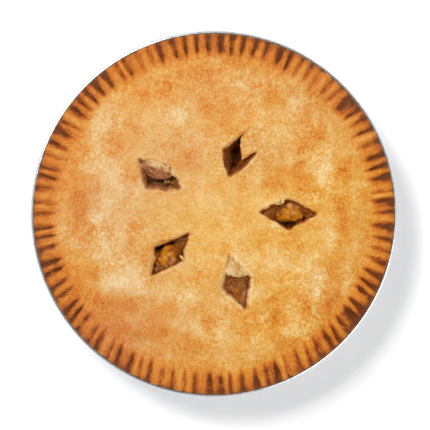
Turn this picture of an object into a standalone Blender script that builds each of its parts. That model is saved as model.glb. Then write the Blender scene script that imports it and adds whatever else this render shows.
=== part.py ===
"""A double crust apple pie in its foil tin.

Units are metres and +Z is up. The origin is the centre of the tin's base, on the surface that it stands on.
Seen from above with +Y up the page, bearings run anticlockwise from +X.

There are four solids: the foil tin, the bottom crust that lines it, the apple filling, and the top crust, which is
crimped to the bottom crust's rim and cut with five diamond vents. Touching solids keep a hair's gap.
"""

import math
import random
from collections import namedtuple

import bmesh
import bpy
from mathutils import Matrix, Vector, noise

MM = 0.001
TURN = 2 * math.pi

# Foil tin: a flat base, a straight sloping wall, a flat flange and a curled edge.
TIN_RADIUS = 103.0 * MM
TIN_DEPTH = 30.0 * MM
TIN_BASE_RADIUS = 77.0 * MM
TIN_MOUTH_RADIUS = 93.0 * MM
TIN_CORNER = 3.5 * MM
TIN_LIP_CORNER = 1.5 * MM
CURL_RADIUS = 1.2 * MM
FOIL = 0.3 * MM
WALL_SLOPE = (TIN_MOUTH_RADIUS - TIN_BASE_RADIUS) / TIN_DEPTH
WALL_TILT = math.atan(WALL_SLOPE)

# Pastry.
GAP = 0.3 * MM
LID_GAP = 0.45 * MM
SHELL = 3.0 * MM
SHELL_RIM = 1.6 * MM
SHELL_RADIUS = 100.1 * MM
LID = 3.2 * MM
LID_RADIUS = 100.9 * MM
RIM_BASE = TIN_DEPTH + GAP + SHELL_RIM + GAP
LID_FLAT_FROM = 88.0 * MM

# The lid's upper surface from the middle to the edge: (radius, height) along the crest of a rib.
LID_PROFILE = [
    (radius * MM, height * MM)
    for radius, height in (
        (0, 41.7), (30, 41.4), (50, 40.8), (66, 39.7), (76, 38.3), (82, 36.7),
        (87, 35.3), (90, 35.2), (94, 35.5), (98, 35.1), (100.2, 34.2), (100.9, 33.2),
    )
]
# How far a groove's floor lies below that: (radius, drop).
GROOVE_PROFILE = [
    (radius * MM, drop * MM)
    for radius, drop in ((0, 0), (86, 0), (89.5, 1.0), (93.5, 2.1), (98, 2.0), (100.2, 1.3), (100.9, 0.5))
]

# Crimped edge. The floor, two flanks and the crest of each groove-to-groove stretch: (share of pitch, share of drop).
GROOVES = 90
GROOVE_SECTION = ((0.0, 1.0), (0.2, 0.3), (0.5, 0.0), (0.8, 0.3))
GROOVE_JITTER = 0.2
GROOVE_DEPTHS = (0.7, 1.1)
GROOVE_LEAN, GROOVE_LEAN_JITTER = math.radians(13), math.radians(3)
RIM_RADII = [radius * MM for radius in (87.0, 91.0, 95.5, 99.4)]
EDGE_NOTCH = 0.7 * MM
EDGE_UNDERCUT = 0.6 * MM
EDGE_WANDER, WANDER_LENGTH = 0.5 * MM, 7 * MM
RAGGED_FROM = 96 * MM

# Rise and fall of the lid over the fruit: broad swells through its whole thickness, and lumps on top only.
SWELL_HEIGHT, SWELL_LENGTH, SWELL_SEED = 1.5 * MM, 45 * MM, 3.7
LUMP_HEIGHT, LUMP_LENGTH, LUMP_SEED = 0.7 * MM, 15 * MM, 11.3
RELIEF_FADES = (76 * MM, 88 * MM)

# Mesh density and shading.
SHARP_ANGLE = math.radians(50)
TIN_SIDES = 60
EDGE_SIDES = 120
LID_RING_STEP = 5.5 * MM
LID_SIDE_STEP = 6.0 * MM
FRUIT_STEP = 6.0 * MM

# Vents: diamonds whose long diagonals point outwards. twist turns the whole diamond about its middle, and lean turns
# its short diagonal alone.
Vent = namedtuple("Vent", "bearing reach length width twist lean")
VENTS = {
    "east": Vent(0.6, 41.6 * MM, 33.3 * MM, 17.5 * MM, -2.8, 4.5),
    "north": Vent(67.2, 37.6 * MM, 30.6 * MM, 18.4 * MM, -0.7, 17.3),
    "west": Vent(144.0, 37.6 * MM, 29.1 * MM, 18.4 * MM, 0.8, -14.2),
    "southwest": Vent(222.6, 33.3 * MM, 33.6 * MM, 18.6 * MM, 6.0, 19.0),
    "south": Vent(288.8, 40.4 * MM, 32.3 * MM, 16.8 * MM, -1.5, 2.5),
}
VENT_TAPER = 0.87  # a vent's size at the lid's underside, against its size on top
VENT_SIDE_PARTS = 3
VENT_BOW = 0.45 * MM

# Tongues of lid dough that stay on one side of a vent and hang into it. Points are (along, across, drop): shares of
# the vent's half length and half width, and how far below the lid's surface the tongue's top is.
TONGUE = 1.6 * MM
TONGUES = {
    "south": (
        (-1.08, 0.0, 1.0), (-0.5, -0.66, 0.9), (-0.34, -0.5, 1.1), (-0.2, -0.1, 1.6),
        (-0.1, 0.55, 1.9), (-0.12, 1.0, 1.6), (-0.6, 0.52, 1.4),
    ),
    "west": (
        (1.02, -0.12, 0.8), (0.5, -0.66, 0.8), (0.0, -1.12, 0.8), (-0.4, -0.72, 1.2),
        (-0.3, -0.1, 4.2), (0.2, 0.2, 4.4), (0.8, 0.12, 3.0),
    ),
    "north": (
        (-0.22, -0.68, 2.0), (0.0, -1.12, 0.8), (0.5, -0.64, 0.8), (1.04, -0.1, 0.9),
        (0.9, 0.16, 1.5), (0.5, 0.3, 2.2), (0.05, -0.15, 2.4),
    ),
}

# Filling. Its surface dips under each vent, and apple pieces stand up there out of the dip.
DIP = 3.4 * MM
DIP_REACH = 1.25
DIP_FADES = (0.45, 1.0)
Apple = namedtuple("Apple", "vent along across length width height turn top_drop")
APPLES = (
    Apple("east", -0.02, 0.06, 19 * MM, 11 * MM, 7.0 * MM, -4, 2.5 * MM),
    Apple("east", -0.6, -0.05, 10 * MM, 7 * MM, 6.0 * MM, 25, 4.4 * MM),
    Apple("east", 0.66, -0.02, 9 * MM, 6 * MM, 5.0 * MM, -30, 4.6 * MM),
    Apple("southwest", 0.06, 0.0, 17 * MM, 11 * MM, 7.0 * MM, 8, 2.5 * MM),
    Apple("southwest", -0.58, 0.1, 10 * MM, 7 * MM, 6.0 * MM, -20, 4.2 * MM),
    Apple("south", 0.3, 0.02, 15 * MM, 9 * MM, 5.6 * MM, 6, 3.8 * MM),
    Apple("west", -0.34, 0.56, 9 * MM, 6 * MM, 4.6 * MM, 30, 5.2 * MM),
    Apple("north", -0.45, 0.1, 11 * MM, 7 * MM, 4.6 * MM, 15, 5.2 * MM),
)
APPLE_ROUGHNESS = 0.16
APPLE_SQUARENESS = 0.72
FRUIT_EDGE = 88.2 * MM
FRUIT_SHOULDER = 30.5 * MM


# ---------------------------------------------------------------- numbers and heights


def smoothstep(low, high, value):
    """0 at low, 1 at high and an even ease between."""
    share = min(1.0, max(0.0, (value - low) / (high - low)))
    return share * share * (3 - 2 * share)


def along_profile(points, radius):
    """A smooth curve through (radius, value) points, read at a radius."""
    if radius >= points[-1][0]:
        return points[-1][1]
    last = len(points) - 1
    index = max(i for i in range(last) if points[i][0] <= max(radius, points[0][0]))

    def slope(i):
        low, high = points[max(i - 1, 0)], points[min(i + 1, last)]
        return (high[1] - low[1]) / (high[0] - low[0]) if 0 < i < last else 0.0

    (r0, v0), (r1, v1) = points[index], points[index + 1]
    span = r1 - r0
    t = (radius - r0) / span
    ease = t * t * (3 - 2 * t)
    return (
        v0 + (v1 - v0) * ease
        + slope(index) * span * t * (1 - t) ** 2
        - slope(index + 1) * span * t * t * (1 - t)
    )


def relief_share(x, y):
    """1 over the fruit, falling to 0 where the lid comes down to the flat rim."""
    return 1 - smoothstep(*RELIEF_FADES, math.hypot(x, y))


def swell(x, y):
    """The broad rise and fall of the lid and of the fruit that carries it."""
    place = Vector((x / SWELL_LENGTH, y / SWELL_LENGTH, SWELL_SEED))
    return SWELL_HEIGHT * noise.noise(place) * relief_share(x, y)


def lumps(x, y):
    """Smaller bumps of the lid's upper surface."""
    place = Vector((x / LUMP_LENGTH, y / LUMP_LENGTH, LUMP_SEED))
    return LUMP_HEIGHT * noise.noise(place) * relief_share(x, y)


def lid_top(x, y, groove=0.0):
    """Height of the lid's upper surface. groove is 1 on a groove's floor and 0 on a rib's crest."""
    radius = math.hypot(x, y)
    height = along_profile(LID_PROFILE, radius) - groove * along_profile(GROOVE_PROFILE, radius)
    return height + swell(x, y) + lumps(x, y)


def lid_underside(x, y):
    """Height of the lid's lower surface: flat on the bottom crust's rim, and one lid's thickness down elsewhere."""
    return max(RIM_BASE, along_profile(LID_PROFILE, math.hypot(x, y)) - LID + swell(x, y))


def edge_wander(x, y):
    """How far the pastry's edge strays in or out at a place."""
    return EDGE_WANDER * noise.noise(Vector((x, y, 0)) / WANDER_LENGTH)


def wall_radius(height, inset):
    """Radius of a cone inset from the tin's outer wall by a thickness."""
    return TIN_BASE_RADIUS + height * WALL_SLOPE - inset / math.cos(WALL_TILT)


# ---------------------------------------------------------------- rings and solids


def fillet(before, corner, after, radius, steps):
    """Points of the arc that rounds a corner of a flat outline."""
    before, corner, after = Vector(before), Vector(corner), Vector(after)
    to_before, to_after = (before - corner).normalized(), (after - corner).normalized()
    half = to_before.angle(to_after) / 2
    middle = (to_before + to_after).normalized()
    centre = corner + middle * (radius / math.sin(half))
    start = corner + to_before * (radius / math.tan(half)) - centre
    end = corner + to_after * (radius / math.tan(half)) - centre
    sweep = start.angle_signed(end)
    return [tuple(centre + Matrix.Rotation(-sweep * i / steps, 2) @ start) for i in range(steps + 1)]


def level_ring(radius, height, sides):
    """A level ring of points, starting at bearing 0."""
    return [
        Vector((radius * math.cos(TURN * i / sides), radius * math.sin(TURN * i / sides), height))
        for i in range(sides)
    ]


def draped_ring(radius, surface, sides):
    """A ring of points that lie on a surface."""
    ring = level_ring(radius, 0, sides)
    for point in ring:
        point.z = surface(point.x, point.y)
    return ring


def stitch(mesh, first, second):
    """Faces between two rings of vertices, whose counts may differ. A ring of one vertex is a pole."""
    first_steps = len(first) if len(first) > 1 else 0
    second_steps = len(second) if len(second) > 1 else 0
    i = j = 0
    while i < first_steps or j < second_steps:
        next_first = (i + 1) / len(first) if i < first_steps else math.inf
        next_second = (j + 1) / len(second) if j < second_steps else math.inf
        corners = [first[i % len(first)], second[j % len(second)]]
        if next_second <= next_first:
            j += 1
            corners.append(second[j % len(second)])
        if next_first <= next_second:
            i += 1
            corners.append(first[i % len(first)])
        mesh.faces.new(corners)


def solid_from_rings(name, rings, material):
    """A closed solid skinned over rings that run from one pole to the other."""
    mesh = bmesh.new()
    vertices = [[mesh.verts.new(point) for point in ring] for ring in rings]
    for first, second in zip(vertices, vertices[1:]):
        stitch(mesh, first, second)
    bmesh.ops.recalc_face_normals(mesh, faces=mesh.faces)
    return object_from(name, mesh, material)


def object_from(name, mesh, material=None):
    """A smooth-shaded object that holds a bmesh."""
    data = bpy.data.meshes.new(name)
    mesh.to_mesh(data)
    mesh.free()
    data.shade_smooth()
    data.set_sharp_from_angle(angle=SHARP_ANGLE)
    if material:
        data.materials.append(material)
    made = bpy.data.objects.new(name, data)
    bpy.context.scene.collection.objects.link(made)
    return made


def boolean_with(target, operation, parts):
    """Cuts the parts from the target or joins them to it, applies that and removes the parts."""
    group = bpy.data.collections.new(target.name + "_parts")
    bpy.context.scene.collection.children.link(group)
    for part in parts:
        bpy.context.scene.collection.objects.unlink(part)
        group.objects.link(part)
    modifier = target.modifiers.new(operation.lower(), "BOOLEAN")
    modifier.operation = operation
    modifier.operand_type = "COLLECTION"
    modifier.collection = group
    modifier.solver = "EXACT"
    with bpy.context.temp_override(object=target, active_object=target):
        bpy.ops.object.modifier_apply(modifier=modifier.name)
    target.data.set_sharp_from_angle(angle=SHARP_ANGLE)
    for part in parts:
        bpy.data.objects.remove(part)
    bpy.data.collections.remove(group)


def principled(name, red, green, blue, roughness, metallic=0.0):
    """A material from an 8-bit display colour."""
    material = bpy.data.materials.new(name)
    material.use_nodes = True
    shader = material.node_tree.nodes["Principled BSDF"]
    linear = [((c / 255 + 0.055) / 1.055) ** 2.4 for c in (red, green, blue)]
    shader.inputs["Base Color"].default_value = (*linear, 1.0)
    shader.inputs["Roughness"].default_value = roughness
    shader.inputs["Metallic"].default_value = metallic
    return material


# ---------------------------------------------------------------- tin and bottom crust


def make_tin():
    """The foil tin: one thin turned shell whose edge is curled over outwards."""
    flange_end = TIN_RADIUS - 2 * CURL_RADIUS
    base_outer, base_inner = (TIN_BASE_RADIUS, 0.0), (wall_radius(FOIL, FOIL), FOIL)
    lip_under = (wall_radius(TIN_DEPTH - FOIL, 0), TIN_DEPTH - FOIL)
    lip_top = (wall_radius(TIN_DEPTH, FOIL), TIN_DEPTH)
    curl_centre = Vector((TIN_RADIUS - CURL_RADIUS, TIN_DEPTH - CURL_RADIUS / 2))
    curl = [
        tuple(curl_centre + CURL_RADIUS * Vector((math.cos(angle), math.sin(angle))))
        for angle in (math.radians(degrees) for degrees in (-150, -95, -40, 15, 70, 135))
    ]
    profile = [
        *fillet((0, 0), base_outer, lip_under, TIN_CORNER, 2),
        *fillet(base_outer, lip_under, (flange_end, TIN_DEPTH - FOIL), TIN_LIP_CORNER - FOIL, 1),
        *curl,
        *fillet((flange_end, TIN_DEPTH), lip_top, base_inner, TIN_LIP_CORNER, 1),
        *fillet(lip_top, base_inner, (0, FOIL), TIN_CORNER - FOIL, 2),
    ]
    rings = [[Vector((0, 0, 0))]]
    rings += [level_ring(radius, height, TIN_SIDES) for radius, height in profile]
    rings.append([Vector((0, 0, FOIL))])
    return solid_from_rings("foil_tin", rings, principled("foil", 205, 207, 210, 0.28, 1.0))


def make_bottom_crust():
    """The pastry that lines the tin and lies on its flange, where its edge shows under the lid's."""
    outer, inner = FOIL + GAP, FOIL + GAP + SHELL
    rim_low, rim_top = TIN_DEPTH + GAP, RIM_BASE - GAP
    floor_outer, floor_inner = (wall_radius(outer, outer), outer), (wall_radius(inner, inner), inner)
    lip_outer, lip_inner = (wall_radius(rim_low, outer), rim_low), (wall_radius(rim_top, inner), rim_top)

    def rings_of(profile):
        return [level_ring(radius, height, TIN_SIDES) for radius, height in profile]

    def ragged_ring(radius, height):
        ring = level_ring(radius, height, EDGE_SIDES)
        for point in ring:
            point.xy *= 1 + edge_wander(point.x, point.y) / radius
        return ring

    rings = [[Vector((0, 0, outer))]]
    rings += rings_of(fillet((0, outer), floor_outer, lip_outer, TIN_CORNER, 2))
    rings += rings_of(fillet(floor_outer, lip_outer, (SHELL_RADIUS, rim_low), TIN_LIP_CORNER, 1))
    rings.append(ragged_ring(SHELL_RADIUS - EDGE_WANDER, rim_low))
    rings.append(ragged_ring(SHELL_RADIUS, (rim_low + rim_top) / 2))
    rings.append(ragged_ring(SHELL_RADIUS - EDGE_WANDER, rim_top))
    rings += rings_of([lip_inner])
    rings += rings_of(fillet(lip_inner, floor_inner, (0, inner), TIN_CORNER, 2))
    rings.append([Vector((0, 0, inner))])
    return solid_from_rings("bottom_crust", rings, principled("baked_shell", 214, 158, 92, 0.7))


# ---------------------------------------------------------------- vents


def vent_point(vent, along, across):
    """A point of a vent: along is -1 at its inner tip and 1 at its outer, across 1 at its left corner going out."""
    bearing = math.radians(vent.bearing)
    heading = bearing + math.radians(vent.twist)
    side = heading + math.radians(90 + vent.lean)
    return (
        Vector((math.cos(bearing), math.sin(bearing))) * vent.reach
        + Vector((math.cos(heading), math.sin(heading))) * along * vent.length / 2
        + Vector((math.cos(side), math.sin(side))) * across * vent.width / 2
    )


def vent_outline(vent, draw):
    """The diamond's outline, each of its sides bowed a little in or out."""
    outline = []
    corners = [vent_point(vent, *place) for place in ((-1, 0), (0, -1), (1, 0), (0, 1))]
    for start, end in zip(corners, corners[1:] + corners[:1]):
        outward = (end - start).orthogonal().normalized() * -1
        bow = draw.uniform(-0.5, 1.0) * VENT_BOW
        for part in range(VENT_SIDE_PARTS):
            share = part / VENT_SIDE_PARTS
            outline.append(start.lerp(end, share) + outward * bow * math.sin(math.pi * share))
    return outline


def make_vent_cutter(name, vent, draw):
    """A prism on the vent's outline that narrows downwards, so that the cut walls show from above."""
    outline = vent_outline(vent, draw)
    middle = vent_point(vent, 0, 0)
    surface = lid_top(*middle)
    mesh = bmesh.new()

    def level(depth):
        scale = 1 - (1 - VENT_TAPER) * depth / LID
        return [mesh.verts.new((*(middle + (point - middle) * scale), surface - depth)) for point in outline]

    low, high = level(2 * LID), level(-LID)
    mesh.faces.new(low)
    mesh.faces.new(high)
    stitch(mesh, low, high)
    bmesh.ops.recalc_face_normals(mesh, faces=mesh.faces)
    return object_from("cutter_" + name, mesh)


def make_tongue(name, vent, outline):
    """A slab of dough that runs from inside the lid down into a vent."""
    surface = lid_top(*vent_point(vent, 0, 0))
    mesh = bmesh.new()
    top = []
    for along, across, drop in outline:
        top.append(mesh.verts.new((*vent_point(vent, along, across), surface - drop * MM)))
    bottom = [mesh.verts.new(vertex.co - Vector((0, 0, TONGUE))) for vertex in top]
    stitch(mesh, top, bottom)
    for cap in (top, bottom):
        middle = mesh.verts.new(sum((vertex.co for vertex in cap), Vector()) / len(cap))
        stitch(mesh, [middle], cap)
    bmesh.ops.recalc_face_normals(mesh, faces=mesh.faces)
    return object_from("tongue_" + name, mesh)


# ---------------------------------------------------------------- top crust


def groove_stations(draw):
    """(bearing, lean, share of full drop) of each groove, unevenly spaced as tines leave them."""
    stations = []
    for index in range(GROOVES):
        bearing = TURN * (index + GROOVE_JITTER * draw.uniform(-1, 1)) / GROOVES
        # In the half towards -Y the grooves lean towards that side; elsewhere they point outwards.
        lean = GROOVE_LEAN * math.sin(2 * bearing) if math.sin(bearing) < 0 else 0.0
        stations.append((bearing, lean + GROOVE_LEAN_JITTER * draw.uniform(-1, 1), draw.uniform(*GROOVE_DEPTHS)))
    return stations


def rim_ring(radius, stations):
    """One ring of the crimped rim, with four points from each groove to the next."""
    ring = []
    middle = (RIM_RADII[0] + LID_RADIUS) / 2
    following = stations[1:] + [(stations[0][0] + TURN, *stations[0][1:])]
    for here, after in zip(stations, following):
        for share, drop in GROOVE_SECTION:
            bearing = here[0] + (after[0] - here[0]) * share
            lean = here[1] + (after[1] - here[1]) * share
            depth = drop * (here[2] if share < 0.5 else after[2])
            bearing += math.tan(lean) * (radius - middle) / middle
            outward = Vector((math.cos(bearing), math.sin(bearing), 0))
            stray = edge_wander(*(outward * radius).xy) - EDGE_NOTCH * drop
            point = outward * (radius + stray * smoothstep(RAGGED_FROM, LID_RADIUS, radius))
            point.z = along_profile(LID_PROFILE, radius) - depth * along_profile(GROOVE_PROFILE, radius)
            ring.append(point)
    return ring


def make_top_crust():
    """The lid: a low dome over the fruit, crimped flat at its edge, with five vents and the tongues in them."""
    draw = random.Random(24)
    stations = groove_stations(draw)
    radii = [LID_RING_STEP * i for i in range(1, math.ceil(RIM_RADII[0] / LID_RING_STEP))]

    def sides_at(radius):
        return max(8, round(TURN * radius / LID_SIDE_STEP))

    edge = rim_ring(LID_RADIUS, stations)
    foot_scale = 1 - EDGE_UNDERCUT / LID_RADIUS
    foot = [Vector((point.x * foot_scale, point.y * foot_scale, RIM_BASE)) for point in edge]
    rings = [[Vector((0, 0, lid_underside(0, 0)))]]
    rings += [draped_ring(radius, lid_underside, sides_at(radius)) for radius in radii[::2]]
    rings += [draped_ring(LID_FLAT_FROM, lid_underside, GROOVES), foot, edge]
    rings += [rim_ring(radius, stations) for radius in reversed(RIM_RADII)]
    rings += [draped_ring(radius, lid_top, sides_at(radius)) for radius in reversed(radii)]
    rings.append([Vector((0, 0, lid_top(0, 0)))])
    lid = solid_from_rings("top_crust", rings, principled("golden_crust", 230, 172, 98, 0.62))
    boolean_with(lid, "DIFFERENCE", [make_vent_cutter(name, vent, draw) for name, vent in VENTS.items()])
    boolean_with(lid, "UNION", [make_tongue(name, VENTS[name], outline) for name, outline in TONGUES.items()])
    return lid


# ---------------------------------------------------------------- filling


def vent_dip(x, y):
    """How far the filling's surface sinks at a point: fully in the middle of a vent, not at all between vents."""
    deepest = 0.0
    for vent in VENTS.values():
        middle = vent_point(vent, 0, 0)
        heading = math.radians(vent.bearing + vent.twist)
        offset = Matrix.Rotation(-heading, 2) @ (Vector((x, y)) - middle)
        distance = math.hypot(2 * offset.x / vent.length, 2 * offset.y / vent.width) / DIP_REACH
        deepest = max(deepest, 1 - smoothstep(*DIP_FADES, distance))
    return DIP * deepest


def fruit_top(x, y):
    """Height of the filling's upper surface."""
    return lid_underside(x, y) - LID_GAP - vent_dip(x, y)


def make_apple(index, apple):
    """A rounded piece of apple, its surface uneven."""
    vent = VENTS[apple.vent]
    middle = vent_point(vent, apple.along, apple.across)
    top = lid_top(*vent_point(vent, 0, 0)) - apple.top_drop
    mesh = bmesh.new()
    bmesh.ops.create_icosphere(mesh, subdivisions=2, radius=0.5)
    for vertex in mesh.verts:
        uneven = 1 + APPLE_ROUGHNESS * noise.noise(vertex.co * 3 + Vector((index, 0, 0)))
        boxy = [math.copysign(abs(2 * value) ** APPLE_SQUARENESS / 2, value) for value in vertex.co]
        vertex.co = Vector(boxy) * uneven
    bmesh.ops.scale(mesh, vec=(apple.length, apple.width, apple.height), verts=mesh.verts)
    turn = math.radians(vent.bearing + vent.twist + apple.turn)
    bmesh.ops.rotate(mesh, matrix=Matrix.Rotation(turn, 3, "Z"), verts=mesh.verts)
    bmesh.ops.translate(mesh, vec=(*middle, top - apple.height / 2), verts=mesh.verts)
    return object_from(f"apple_{index}", mesh)


def make_filling():
    """The filling: a thick body between the crusts, with the apple pieces that show in the vents."""
    inset = FOIL + GAP + SHELL + GAP
    floor = (wall_radius(inset, inset), inset)
    shoulder = (wall_radius(FRUIT_SHOULDER, inset) - GAP, FRUIT_SHOULDER)
    radii = [FRUIT_STEP * i for i in range(1, math.ceil(FRUIT_EDGE / FRUIT_STEP))]
    rings = [[Vector((0, 0, inset))]]
    rings += [level_ring(*place, TIN_SIDES) for place in fillet((0, inset), floor, shoulder, TIN_CORNER, 1)]
    rings.append(level_ring(*shoulder, TIN_SIDES))
    rings += [
        draped_ring(radius, fruit_top, max(8, min(TIN_SIDES, round(TURN * radius / FRUIT_STEP))))
        for radius in reversed(radii)
    ]
    rings.append([Vector((0, 0, fruit_top(0, 0)))])
    filling = solid_from_rings("apple_filling", rings, principled("apple_filling", 176, 112, 38, 0.3))
    boolean_with(filling, "UNION", [make_apple(index, apple) for index, apple in enumerate(APPLES)])
    return filling


def main():
    for leftover in list(bpy.data.objects):
        bpy.data.objects.remove(leftover)
    make_tin()
    make_bottom_crust()
    make_filling()
    make_top_crust()


main()
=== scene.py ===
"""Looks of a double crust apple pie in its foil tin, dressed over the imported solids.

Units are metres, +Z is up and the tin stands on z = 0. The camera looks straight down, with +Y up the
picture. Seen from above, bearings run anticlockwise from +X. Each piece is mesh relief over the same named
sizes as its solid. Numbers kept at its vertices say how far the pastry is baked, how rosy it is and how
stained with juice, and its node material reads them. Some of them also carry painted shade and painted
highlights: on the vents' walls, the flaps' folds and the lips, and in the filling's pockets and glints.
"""

import math
import random
from collections import namedtuple

import bmesh
import bpy
import numpy as np
from mathutils import Matrix, Vector, noise
from mathutils.geometry import delaunay_2d_cdt


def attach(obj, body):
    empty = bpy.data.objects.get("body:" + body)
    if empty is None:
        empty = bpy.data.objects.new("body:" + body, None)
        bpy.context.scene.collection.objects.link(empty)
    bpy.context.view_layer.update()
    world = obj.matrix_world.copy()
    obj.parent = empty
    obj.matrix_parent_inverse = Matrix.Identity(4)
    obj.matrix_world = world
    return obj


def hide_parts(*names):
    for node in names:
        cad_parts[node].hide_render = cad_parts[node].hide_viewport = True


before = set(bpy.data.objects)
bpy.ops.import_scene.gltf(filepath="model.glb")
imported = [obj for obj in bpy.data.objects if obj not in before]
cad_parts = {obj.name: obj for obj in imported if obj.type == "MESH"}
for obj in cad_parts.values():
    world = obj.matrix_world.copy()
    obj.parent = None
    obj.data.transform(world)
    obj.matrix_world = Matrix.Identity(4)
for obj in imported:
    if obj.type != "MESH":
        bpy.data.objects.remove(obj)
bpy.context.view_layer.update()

MM = 0.001
TURN = 2 * math.pi


def table(columns, *rows):
    """Rows in metres and radians. A letter gives each column's unit: l mm, a degrees, n none, s a name."""
    units = {"l": lambda given: given * MM, "a": math.radians, "n": float, "s": str}
    return [tuple(units[letter](given) for letter, given in zip(columns, row)) for row in rows]


# ---------------------------------------------------------------- sizes, as in the solids

TIN_RADIUS, TIN_DEPTH = 103.0 * MM, 30.0 * MM
TIN_BASE_RADIUS, TIN_MOUTH_RADIUS = 77.0 * MM, 93.0 * MM
TIN_CORNER, TIN_LIP_CORNER = 3.5 * MM, 1.5 * MM
CURL_RADIUS = 1.2 * MM
FOIL = 0.3 * MM
WALL_SLOPE = (TIN_MOUTH_RADIUS - TIN_BASE_RADIUS) / TIN_DEPTH
WALL_TILT = math.atan(WALL_SLOPE)

# Clearances, and the thickness of the bottom crust, of its rim and of the lid.
GAP, LID_GAP = 0.3 * MM, 0.45 * MM
SHELL, SHELL_RIM, LID = 3.0 * MM, 1.6 * MM, 3.2 * MM
SHELL_RADIUS, LID_RADIUS = 100.1 * MM, 100.9 * MM
RIM_BASE = TIN_DEPTH + GAP + SHELL_RIM + GAP

# The lid's height and its grooves' depth, by radius.
LID_PROFILE = table(
    "ll",
    (0, 41.7), (30, 41.4), (50, 40.8), (66, 39.7), (76, 38.3), (82, 36.7),
    (87, 35.3), (90, 35.2), (94, 35.5), (98, 35.1), (100.2, 34.2), (100.9, 33.2),
)
GROOVE_PROFILE = table("ll", (0, 0), (86, 0), (89.5, 1), (93.5, 2.1), (98, 2), (100.2, 1.3), (100.9, 0.5))

# The grooves and the vents' outlines are drawn at random from this seed, in the solids' order.
DRAW_SEED = 24
GROOVES = 90
GROOVE_JITTER = 0.2
GROOVE_DEPTHS = (0.7, 1.1)
GROOVE_LEAN, GROOVE_LEAN_JITTER = math.radians(13), math.radians(3)
GROOVE_MIDDLE = 93.95 * MM
EDGE_NOTCH = 0.7 * MM
EDGE_UNDERCUT = 0.6 * MM
EDGE_WANDER, WANDER_LENGTH = 0.5 * MM, 7 * MM
RAGGED_FROM = 96 * MM
SWELL_HEIGHT, SWELL_LENGTH, SWELL_SEED = 1.5 * MM, 45 * MM, 3.7
LUMP_HEIGHT, LUMP_LENGTH, LUMP_SEED = 0.7 * MM, 15 * MM, 11.3
RELIEF_FADES = (76 * MM, 88 * MM)

# The walls' soaking is how far up a vent's sloping walls juice has soaked, and it also paints shade where a
# wall faces away from the light; rosy is how rosy they are, partly a painted mauve shade.
Vent = namedtuple("Vent", "bearing reach length width twist lean damp rosy")
VENTS = {
    name: Vent(*sizes)
    for name, *sizes in table(
        "snlllnnnn",
        ("east", 0.6, 41.6, 33.3, 17.5, -2.8, 4.5, 1.3, 0),
        ("north", 67.2, 37.6, 30.6, 18.4, -0.7, 17.3, 2.5, 0.1),
        ("west", 144, 37.6, 29.1, 18.4, 0.8, -14.2, 0.8, 0.7),
        ("southwest", 222.6, 33.3, 33.6, 18.6, 6, 19, -1, 0.2),
        ("south", 288.8, 40.4, 32.3, 16.8, -1.5, 2.5, -0.1, 0.7),
    )
}
VENT_TAPER = 0.87
VENT_SIDE_PARTS = 3
VENT_BOW = 0.45 * MM

# Flaps of dough that hang into vents. stains is how far below the lid juice starts to show on them and
# where they are soaked. A corner is (along the vent, across it, how far below the lid).
Flap = namedtuple("Flap", "bake rosy soak stains corners")
FLAPS = {
    "south": Flap(0.14, 0.6, 0.85, (1.9 * MM, 5.0 * MM), table(
        "nnl",
        (-1.08, 0, 1), (-0.5, -0.66, 0.9), (-0.34, -0.5, 1.1), (-0.2, -0.1, 1.6),
        (-0.1, 0.55, 1.9), (-0.12, 1, 1.6), (-0.6, 0.52, 1.4),
    )),
    "west": Flap(0.04, 0.8, 0.72, (1.8 * MM, 3.4 * MM), table(
        "nnl",
        (1.02, -0.12, 0.8), (0.5, -0.66, 0.8), (0, -1.12, 0.8), (-0.4, -0.72, 1.2),
        (-0.3, 0, 4.4), (0.06, 0.44, 5), (0.36, 0.42, 4.4), (0.8, 0.14, 3),
    )),
    "north": Flap(0.28, 0.45, 0.85, (2.4 * MM, 5.0 * MM), table(
        "nnl",
        (-0.28, -0.32, 2.3), (-0.06, -0.69, 1.9), (0.2, -1, 0.8), (0.5, -0.64, 0.8),
        (1.04, -0.1, 0.9), (0.9, 0.16, 1.5), (0.5, 0.3, 2.2), (0.05, -0.05, 2.4),
    )),
}
FLAP_THICKNESS = 1.6 * MM

# How far the filling sinks under a vent, and from what share of the way out it rises again.
DIP, DIP_REACH, DIP_FADES = 3.4 * MM, 1.25, (0.45, 1.0)
FRUIT_SHOULDER = 30.5 * MM

# ---------------------------------------------------------------- mesh spacing

LID_STEP = 0.76 * MM
VENT_STEP = 0.42 * MM
VENT_BAND = 3.0 * MM
UNDERSIDE_STEP = 5.0 * MM
FILLING_STEP = 4.0 * MM
RIM_FROM = 86.0 * MM
RIM_STEP = 0.62 * MM
RIM_SHARES = np.array((0, 0.06, 0.12, 0.18, 0.26, 0.37, 0.5, 0.63, 0.74, 0.82, 0.88, 0.94))
WALL_LEVELS = 8
FILLING_SIDES, TIN_SIDES = 120, 720

# ---------------------------------------------------------------- places read from the photograph

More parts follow.
